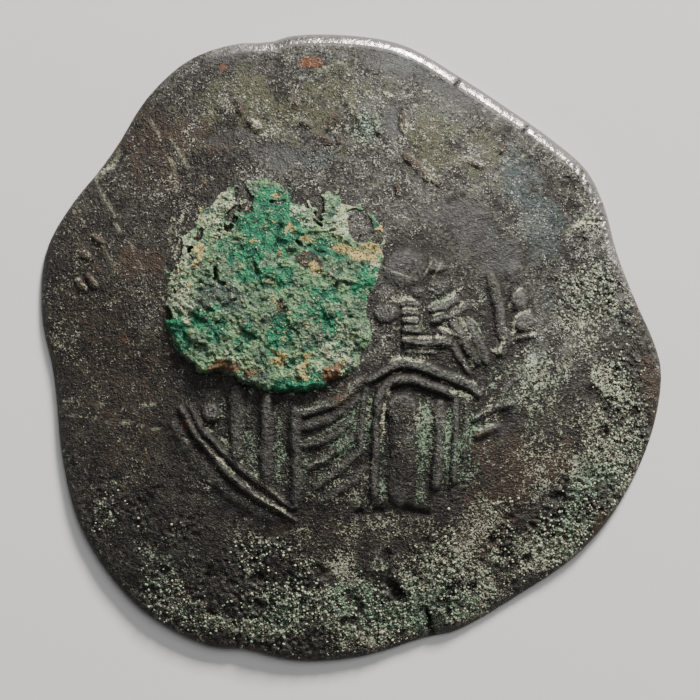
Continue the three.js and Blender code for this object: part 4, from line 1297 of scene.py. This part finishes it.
def beads_tree():
    """Sets a row of beads along a closed curve."""
    t = GeometryTree("row_of_beads", {
        "Count": "NodeSocketInt", "Radius": "NodeSocketFloat", "Finish": "NodeSocketMaterial",
    })
    points = t.add(
        "GeometryNodeCurveToPoints", {"mode": "COUNT"},
        {"Curve": t.given("Geometry"), "Count": t.given("Count")},
    )
    bead = t.add("GeometryNodeMeshIcoSphere", None, {"Radius": 1.0, "Subdivisions": 2})
    size = t.add(
        "FunctionNodeRandomValue", {"data_type": "FLOAT"}, {2: 0.75, 3: 1.1, "Seed": 2}, 1
    )
    size = size * t.given("Radius")
    placed = t.add(
        "GeometryNodeInstanceOnPoints", None,
        {"Points": points, "Instance": bead, "Scale": size},
    )
    solid = t.add("GeometryNodeRealizeInstances", None, {"Geometry": placed})
    smooth_beads = t.add("GeometryNodeSetShadeSmooth", None, {"Geometry": solid})
    t.result(t.add(
        "GeometryNodeSetMaterial", None,
        {"Geometry": smooth_beads, "Material": t.given("Finish")},
    ))
    return t.nodes


def grown(name, source, tree, inputs):
    """A plain mesh object made by a geometry tree on a source object."""
    modifier = source.modifiers.new("growth", "NODES")
    modifier.node_group = tree
    for item in tree.interface.items_tree:
        if item.item_type == "SOCKET" and item.in_out == "INPUT" and item.name in inputs:
            modifier[item.identifier] = inputs[item.name]
    evaluated = source.evaluated_get(bpy.context.evaluated_depsgraph_get())
    mesh = bpy.data.meshes.new_from_object(evaluated)
    source.modifiers.remove(modifier)
    piece = bpy.data.objects.new(name, mesh)
    bpy.context.scene.collection.objects.link(piece)
    mesh.shade_smooth()
    return piece


# What the operators share while the coin is built

class Work:
    """The bare flan, the drawn domed side and the pieces that later ones are grown on."""

    flan = None
    obverse = None
    flan_piece = None
    crust_piece = None

    @classmethod
    def begin(cls, scene):
        """Measures the bare flan and draws the domed side."""
        cls.flan = Flan(scene.coin_flan)
        cls.obverse = Obverse(cls.flan, scene.coin_flan, scene.coin_crust.seed)
        return cls.flan, cls.obverse

    @classmethod
    def ready(cls, *names):
        """The named things, or an error where one of them isn't built yet."""
        for name in names:
            if getattr(cls, name) is None:
                raise RuntimeError(f"{name} isn't built yet: build the flan, then the crust")
        return [getattr(cls, name) for name in names]


def reverse_sheet(settings, seed):
    """The hollow side: a cross with flared ends on three steps, inside a line border."""
    unit = mm(settings.die_radius) / 100
    sheet = Sheet((0, 0), Obverse.HALF, REVERSE_CELL)
    drawn = sheet.blank()
    cross = (
        (((0, 38), (0, -44)), 6.5), (((-30, -14), (30, -14)), 6.5), (((-8, -44), (8, -44)), 4),
        (((-30, -7), (-30, -21)), 4), (((30, -7), (30, -21)), 4),
    )
    steps = [(((-12 - 8 * i, 40 + 7 * i), (12 + 8 * i, 40 + 7 * i)), 5) for i in range(3)]
    for points, width in (*cross, *steps):
        sheet.stroke(drawn, points, width, 1, unit, taper=0)
    border = [
        (BORDER_RADIUS * math.cos(a), BORDER_RADIUS * math.sin(a))
        for a in np.linspace(0, 2 * math.pi, 49)
    ]
    sheet.stroke(drawn, border, 3.2, 0.8, unit, taper=0)
    worn = smooth(0.75 + 0.6 * clouds(sheet.x, sheet.y, 3, seed + 80, 3))
    height = mm(settings.reverse) * drawn * (0.45 + 0.55 * worn)
    height += 0.02 * clouds(sheet.x, sheet.y, 1.2, seed + 84, 4)
    return sheet, drawn, height


class COIN_OT_flan(bpy.types.Operator):
    """Build the struck flan with its worn relief"""

    bl_idname = "coin.flan"
    bl_label = "Struck flan"

    def execute(self, context):
        """Builds it from the scene's settings."""
        scene = context.scene
        flan, obverse = Work.begin(scene)
        sheet, drawn, hollow_side = reverse_sheet(scene.coin_flan, scene.coin_crust.seed)
        near_strokes = sheet.blurred(np.clip(drawn, 0, 1), 0.3)
        beside = np.clip(3 * near_strokes - 1.6 * drawn, 0, 1)

        def detail_of(points):
            """How finely the mesh needs to follow each side at the given points."""
            x, y, side = points[:, 0], points[:, 1], points[:, 2]
            below = np.where(sheet.read(near_strokes, x, y) > 0.06, 1, 0)
            return np.where(side > 0, obverse.detail(x, y), below)

        piece = make_mesh("coin_flan", *flan_plan(flan, scene.coin_flan.rings))
        split_edges(piece, detail_of, 1)
        split_edges(piece, detail_of, 2)

        plan = points_of(piece)
        x, y, side = plan.T
        middle, inset = flan.middle(x, y)
        half = flan.half(inset)
        fade = smooth(inset / 0.5)
        read = obverse.sheet.read
        worked = read(obverse.body, x, y) * smooth(half / (flan.thickness / 2))
        worked += read(obverse.relief, x, y) * np.maximum(fade, 0.25 * smooth(inset / 0.1))
        worked += read(obverse.uneven, x, y) * fade
        above = middle + half + worked
        below = middle - half - sheet.read(hollow_side, x, y) * fade
        height = np.where(side > 0, above, np.where(side < 0, below, middle))
        place_points(piece, np.stack([x, y, np.maximum(height, 0)], 1))

        top = side >= 0
        masks = flan_masks(
            obverse, x, y, inset, top, sheet.read(beside, x, y), sheet.read(drawn, x, y)
        )
        for name, values in masks.items():
            store(piece, name, values)
        piece.data.materials.append(metal_finish(scene.coin_colours))
        Work.flan_piece = piece
        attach(piece, BODY)
        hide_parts(NODE)
        return {"FINISHED"}


def flan_masks(obverse, x, y, inset, top, beside, strokes):
    """What the metal's finish reads at each point. The last two say where the hollow side's
    strokes lie, and what lies beside them."""
    read = obverse.sheet.read
    masks = {name: read(field, x, y) * top for name, field in obverse.stains.items()}
    grit, hollow = read(obverse.grit, x, y), read(obverse.hollow, x, y)
    figure, pit = read(obverse.figure, x, y), read(obverse.pits, x, y)
    seams, streaks = read(obverse.seams, x, y), read(obverse.streaks, x, y)
    cloud = clouds(x, y, 1.6, 91, 4)
    patchy = smooth(0.5 + 1.1 * cloud)
    polish, powdery, cream = masks["polish"], masks.pop("powder"), masks.pop("cream")
    dome = np.where(
        top,
        0.5 * seams * (0.35 + 0.8 * patchy) + 0.22 * streaks + 0.25 * hollow * figure * patchy
        + 0.45 * cream + 0.15 * masks["verdigris"] + 0.2 * grit * (0.8 + 0.4 * patchy),
        0.08 + 0.2 * cloud + 0.5 * beside * patchy,
    )
    masks["deposit"] = np.clip(dome * (1 - 0.9 * pit), 0, 1)
    # How far a point lies towards the lamps at the upper right; more pale specks are painted on
    # that side as painted light
    toward_light = (0.45 * x + 0.89 * y) / 14
    specks = np.where(
        top,
        0.1 + 0.75 * powdery + 0.15 * masks["verdigris"] + 0.2 * cloud + 0.05 * toward_light,
        0.3,
    )
    specks = specks * (1 - pit) * (1 - 0.8 * polish) - 0.2 * figure * (1 - hollow)
    specks = specks + 0.5 * top * streaks * (0.7 + 0.5 * patchy)
    worn_strokes = top * read(obverse.legend, x, y)
    specks = specks - 0.8 * worn_strokes
    masks["umber"] = masks["umber"] + 1.2 * worn_strokes
    masks["speckle"] = np.clip(specks, 0, 0.75)
    masks["verdigris"] = np.where(
        top, masks["verdigris"] + 0.8 * streaks, 0.3 + 0.5 * beside
    )
    # Painted shade: the figure's hollows, and the ground beside the hollow side's strokes
    masks["hollow"] = np.where(top, hollow * (0.25 + 0.7 * figure), 0.5 * beside)
    bearing = np.arctan2(y, x)
    # The rim is rubbed a little all round, and painted bright as a highlight on the side facing the
    # key light
    toward_highlight = np.cos(bearing - math.radians(HIGHLIGHT_BEARING))
    highlight_side = 0.1 + 0.9 * smooth(1 + 2.6 * (toward_highlight - 0.85))
    masks["rub_and_highlight"] = smooth((RUB_AND_HIGHLIGHT_INSET - inset) / 0.3) * highlight_side * (1 - pit)
    worn = np.where(top, read(obverse.worn, x, y), 0.2 + 0.8 * strokes)
    masks["worn"] = worn + 0.5 * masks["rub_and_highlight"]
    masks["scratch"] = top * read(obverse.scratches, x, y)
    masks["pit"] = top * pit
    # Painted light: higher towards the lamps at the upper right, with random clouds; even on the
    # hollow side
    masks["painted_light"] = np.where(top, np.clip(0.4 + 0.45 * toward_light + 0.3 * cloud, 0, 1), 0.4)
    return masks


class COIN_OT_crust(bpy.types.Operator):
    """Build the green corrosion crust over the figure's head and chest"""

    bl_idname = "coin.crust"
    bl_label = "Corrosion crust"

    def execute(self, context):
        """Builds it from the scene's settings."""
        scene = context.scene
        settings = scene.coin_crust
        flan, obverse = Work.ready("flan", "obverse")
        unit, size = obverse.unit, mm(settings.reach)
        middle = np.array(CRUST_MIDDLE) * unit
        ring, turn, triangles, first = disc(settings.rings)
        bearing = 2 * math.pi * turn
        share = ring / settings.rings
        reach = self.reach(bearing, size)
        x = middle[0] + reach * share * np.cos(bearing)
        y = middle[1] + reach * share * np.sin(bearing)
        sheet = Sheet(middle, size * 1.4, CRUST_CELL)
        height, hollow = self.heights(sheet, settings, unit, middle)
        base, inset = flan.middle(x, y)
        base = base + flan.half(inset) + obverse.sheet.read(obverse.body, x, y)
        root = base[0] - CRUST_ROOT
        lift = sheet.read(height, x, y)
        z = base + np.where(ring == settings.rings, -0.1, lift)
        rim = first[settings.rings] + np.arange(6 * settings.rings)
        centre = len(x)
        under = np.stack([np.roll(rim, -1), rim, np.full(len(rim), centre)], 1)
        points = np.stack([np.append(x, middle[0]), np.append(y, middle[1]),
                           np.append(z, root)], 1)
        piece = make_mesh("corrosion_crust", points, np.concatenate([triangles, under]))
        for k, (name, ovals) in enumerate(CRUST_STAINS.items()):
            field = sheet.stain(ovals, unit, 140 + 10 * k)
            store(piece, name, sheet.read(field, points[:, 0], points[:, 1]))
        store(piece, "hollow", sheet.read(hollow, points[:, 0], points[:, 1]))
        piece.data.materials.append(crust_finish(scene.coin_colours))
        Work.crust_piece = piece
        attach(piece, BODY)
        return {"FINISHED"}

    @staticmethod
    def reach(bearing, size):
        """How far the crust reaches from its middle, with ragged lobes."""
        knots = np.array(CRUST_OUTLINE)
        share = np.interp(np.degrees(bearing), knots[:, 0], knots[:, 1], period=360)
        ragged = sum(
            0.08 * 0.8**k * np.sin(waves * bearing + 2 * k)
            for k, waves in enumerate((7, 11, 18))
        )
        return size * share + ragged

    def heights(self, sheet, settings, unit, middle):
        """The crust's thickness over its sheet, and where its hollows lie."""
        dx, dy = sheet.x - middle[0], sheet.y - middle[1]
        away = np.hypot(dx, dy)
        size, thick, thin = mm(settings.reach), mm(settings.thick), mm(settings.thin)
        inside = self.reach(np.arctan2(dy, dx), size) - away
        inside += 0.3 * clouds(sheet.x, sheet.y, 0.9, settings.seed + 90, 5)
        along = smooth(0.5 + (dx + dy) / (2 * math.sqrt(2) * size))
        thickness = thick + (thin - thick) * along
        left = smooth(0.4 - (dx - 0.4 * dy) / size)
        flank = 0.35 + 0.6 * along + 1.4 * left * smooth(0.5 + dy / size)
        seed = settings.seed + 100
        x, y = sheet.x, sheet.y
        ledge = clouds(x, y, 2.1, seed, 5) * 2.4
        terraces = (np.floor(ledge) + smooth((ledge - np.floor(ledge) - 0.4) / 0.16)) / 2.4
        bend_x = sheet.bent_x + 0.12 * clouds(x, y, 0.5, seed + 50, 3)
        bend_y = sheet.bent_y + 0.12 * clouds(x, y, 0.5, seed + 55, 3)
        flaky = 0.09 * plates(bend_x, bend_y, 1.0, seed + 60)
        flaky += 0.06 * plates(bend_x, bend_y, 0.42, seed + 61)
        lumps = 0.09 * terraces + 0.05 * clouds(x, y, 0.9, seed + 10, 5)
        lumps += sheet.blurred(flaky, CRUST_CELL)
        crumbs = 0.1 * ridges(x, y, 0.42, seed + 20) + 0.045 * pebbles(x, y, 0.2, seed + 24)
        crumbs *= 1 - 0.55 * np.clip(sheet.stain(CRUST_STAINS["green"], unit, 140), 0, 1)
        fissures = sheet.drawing(FISSURES, unit) * smooth(0.7 + clouds(x, y, 0.5, seed + 40, 3))
        holes = sheet.stain(CRUST_GAPS, unit, seed + 30)
        holes *= smooth(1 + 0.9 * clouds(x, y, 0.4, seed + 35, 3))
        cover = smooth(inside / flank) ** 0.8
        height = (thickness + lumps) * cover + crumbs * smooth(inside / 0.25)
        height -= 0.28 * fissures + 2.6 * np.clip(holes - 0.3, 0, 1) + 0.08
        height = np.maximum(height, -0.12)
        # Hollows and fissures, which the finish paints deep green as shade
        high = height - sheet.blurred(height, 0.15)
        return height, np.maximum(smooth(-high / 0.06), fissures)


class COIN_OT_grains(bpy.types.Operator):
    """Scatter corrosion grains over the granular margins and the crust"""

    bl_idname = "coin.grains"
    bl_label = "Corrosion grains"

    def execute(self, context):
        """Builds it from the scene's settings."""
        scene = context.scene
        settings, colours = scene.coin_crust, scene.coin_colours
        flan, obverse, piece, crust = Work.ready("flan", "obverse", "flan_piece", "crust_piece")
        tree = scatter_tree()
        x, y, z = points_of(piece).T
        middle, inset = flan.middle(x, y)
        top = z > middle
        read = obverse.sheet.read
        grit = read(obverse.grit, x, y) * (1 - read(obverse.pits, x, y))
        grit *= 0.3 + read(obverse.stains["powder"], x, y)
        store(piece, "scatter", top * smooth(inset / 0.4) * np.clip(grit - 0.12, 0, 1))
        grains = grown("corrosion_grains", piece, tree, {
            "Most per Area": METAL_GRAINS / MM**2, "Radius": settings.grain,
            "Seed": settings.seed,
            "Finish": grain_finish("pale_grains", colours.patina, colours.verdigris, colours.cream),
        })
        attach(grains, BODY)

        x, y, z = points_of(crust).T
        pale, ochre = stored(crust, "pale"), stored(crust, "ochre")
        patchy = smooth(0.5 + 1.5 * clouds(x, y, 0.8, 200, 3))
        store(crust, "scatter", np.clip(0.1 + 0.5 * pale + 0.8 * ochre, 0, 1) * patchy)
        crumbs = grown("crust_grains", crust, tree, {
            "Most per Area": CRUST_GRAINS / MM**2, "Radius": settings.grain * 0.9,
            "Seed": settings.seed + 1,
            "Finish": grain_finish("crust_grains", colours.leaf, colours.pale, colours.ochre),
        })
        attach(crumbs, BODY)
        return {"FINISHED"}


class COIN_OT_beads(bpy.types.Operator):
    """Set the row of beads inside the border of the hollow side"""

    bl_idname = "coin.beads"
    bl_label = "Reverse beads"

    # How many beads there are, how far out in hundredths, and their radius in millimetres
    COUNT = 92
    REACH = 84.0
    RADIUS = 0.2

    def execute(self, context):
        """Builds it from the scene's settings."""
        flan, obverse, metal = Work.ready("flan", "obverse", "flan_piece")
        reach = self.REACH * obverse.unit
        bearings = np.linspace(0, 2 * math.pi, 4 * self.COUNT, endpoint=False)
        x, y = reach * np.cos(bearings), reach * np.sin(bearings)
        middle, inset = flan.middle(x, y)
        z = middle - flan.half(inset)
        curve = bpy.data.curves.new("bead_path", "CURVE")
        curve.dimensions = "3D"
        path = curve.splines.new("POLY")
        path.points.add(len(x) - 1)
        for point, place in zip(path.points, np.stack([x, y, z], 1) * MM):
            point.co = (*place, 1)
        path.use_cyclic_u = True
        source = bpy.data.objects.new("bead_path", curve)
        context.scene.collection.objects.link(source)
        beads = grown("border_beads", source, beads_tree(), {
            "Count": self.COUNT, "Radius": self.RADIUS * MM,
            "Finish": metal.data.materials[0],
        })
        bpy.data.objects.remove(source)
        count = len(beads.data.vertices)
        for name, value in {"deposit": 0.2, "speckle": 0.3, "worn": 0.5, "painted_light": 0.5}.items():
            store(beads, name, np.full(count, value))
        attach(beads, BODY)
        return {"FINISHED"}


SURROUNDING_COLOUR = (0.85, 0.88, 0.92, 1)
SURROUNDING_STRENGTH = 0.12
# Lights as (name, width, place, tint), in metres
LIGHTS = (
    ("key", 0.07, (0.12, 0.27, 0.155), (1, 0.98, 0.95)),
    ("soft_box", 0.35, (0.13, 0.27, 0.5), (0.98, 0.98, 1)),
)


class COIN_OT_stage(bpy.types.Operator):
    """Set the floor, the lights and the camera"""

    bl_idname = "coin.stage"
    bl_label = "Floor, lights and camera"

    def execute(self, context):
        """Builds it from the scene's settings."""
        scene = context.scene
        settings = scene.coin_stage
        self.floor(scene, settings)
        self.lights(scene, settings)
        self.camera(scene, settings)
        return {"FINISHED"}

    @staticmethod
    def floor(scene, settings):
        """A plain floor at the height that the coin lies on."""
        half = settings.floor / 2
        mesh = bpy.data.meshes.new("floor")
        corners = [(-half, -half, 0), (half, -half, 0), (half, half, 0), (-half, half, 0)]
        mesh.from_pydata(corners, [], [(0, 1, 2, 3)])
        floor = bpy.data.objects.new("floor", mesh)
        scene.collection.objects.link(floor)
        f = Finish("pale_floor")
        f.surface(Base_Color=paint(settings.grey), Roughness=0.9)
        mesh.materials.append(f.material)

    @staticmethod
    def lights(scene, settings):
        """A dim even surrounding, a low key light and a soft box, both from the upper right."""
        world = bpy.data.worlds.new("studio")
        world.use_nodes = True
        background = world.node_tree.nodes["Background"]
        background.inputs["Color"].default_value = SURROUNDING_COLOUR
        background.inputs["Strength"].default_value = SURROUNDING_STRENGTH
        scene.world = world
        powers = {"key": settings.key, "soft_box": settings.fill}
        for name, size, place, tint in LIGHTS:
            light = bpy.data.lights.new(name, "AREA")
            light.energy, light.size, light.color = powers[name], size, tint
            lamp = bpy.data.objects.new(name, light)
            lamp.location = place
            lamp.rotation_euler = (-Vector(place)).to_track_quat("-Z", "Y").to_euler()
            scene.collection.objects.link(lamp)

    @staticmethod
    def camera(scene, settings):
        """A camera that looks straight down, as far off as the photograph's frame needs."""
        lens = bpy.data.cameras.new("camera")
        lens.lens = settings.lens
        lens.clip_start = 1 * MM
        camera = bpy.data.objects.new("camera", lens)
        scene.collection.objects.link(camera)
        width = settings.pixel * IMAGE_WIDTH
        distance = width * settings.lens / lens.sensor_width
        (flan,) = Work.ready("flan")
        rim_height = (flan.heights.mean() + flan.drop) * MM
        offset = [IMAGE_WIDTH / 2 - settings.middle[0], settings.middle[1] - IMAGE_WIDTH / 2]
        x, y = (value * settings.pixel for value in offset)
        camera.location = (x, y, rim_height + distance)
        scene.camera = camera


class COIN_PT_panel(bpy.types.Panel):
    """The coin's builders, listed in the sidebar"""

    bl_idname = "COIN_PT_panel"
    bl_label = "Cup-shaped coin"
    bl_space_type = "VIEW_3D"
    bl_region_type = "UI"
    bl_category = "Coin"

    def draw(self, context):
        """Lists the settings and the builders."""
        scene = context.scene
        for group in (scene.coin_flan, scene.coin_crust, scene.coin_colours, scene.coin_stage):
            box = self.layout.box()
            for name in group.__annotations__:
                box.prop(group, name)
        for operator in OPERATORS:
            self.layout.operator(operator.bl_idname)


GROUPS = {
    "coin_flan": CoinFlanSettings,
    "coin_crust": CoinCrustSettings,
    "coin_colours": CoinColourSettings,
    "coin_stage": CoinStageSettings,
}
OPERATORS = (COIN_OT_flan, COIN_OT_crust, COIN_OT_grains, COIN_OT_beads, COIN_OT_stage)


def register():
    """Registers the settings, the builders and the panel."""
    for cls in (*GROUPS.values(), *OPERATORS, COIN_PT_panel):
        bpy.utils.register_class(cls)
    for name, group in GROUPS.items():
        setattr(bpy.types.Scene, name, bpy.props.PointerProperty(type=group))


def unregister():
    """Takes back what register did."""
    for name in GROUPS:
        delattr(bpy.types.Scene, name)
    for cls in (COIN_PT_panel, *OPERATORS[::-1], *GROUPS.values()):
        bpy.utils.unregister_class(cls)


def main():
    """Registers the builders and builds every piece."""
    register()
    bpy.ops.coin.flan()
    bpy.ops.coin.crust()
    bpy.ops.coin.grains()
    bpy.ops.coin.beads()
    bpy.ops.coin.stage()


if __name__ == "__main__":
    main()
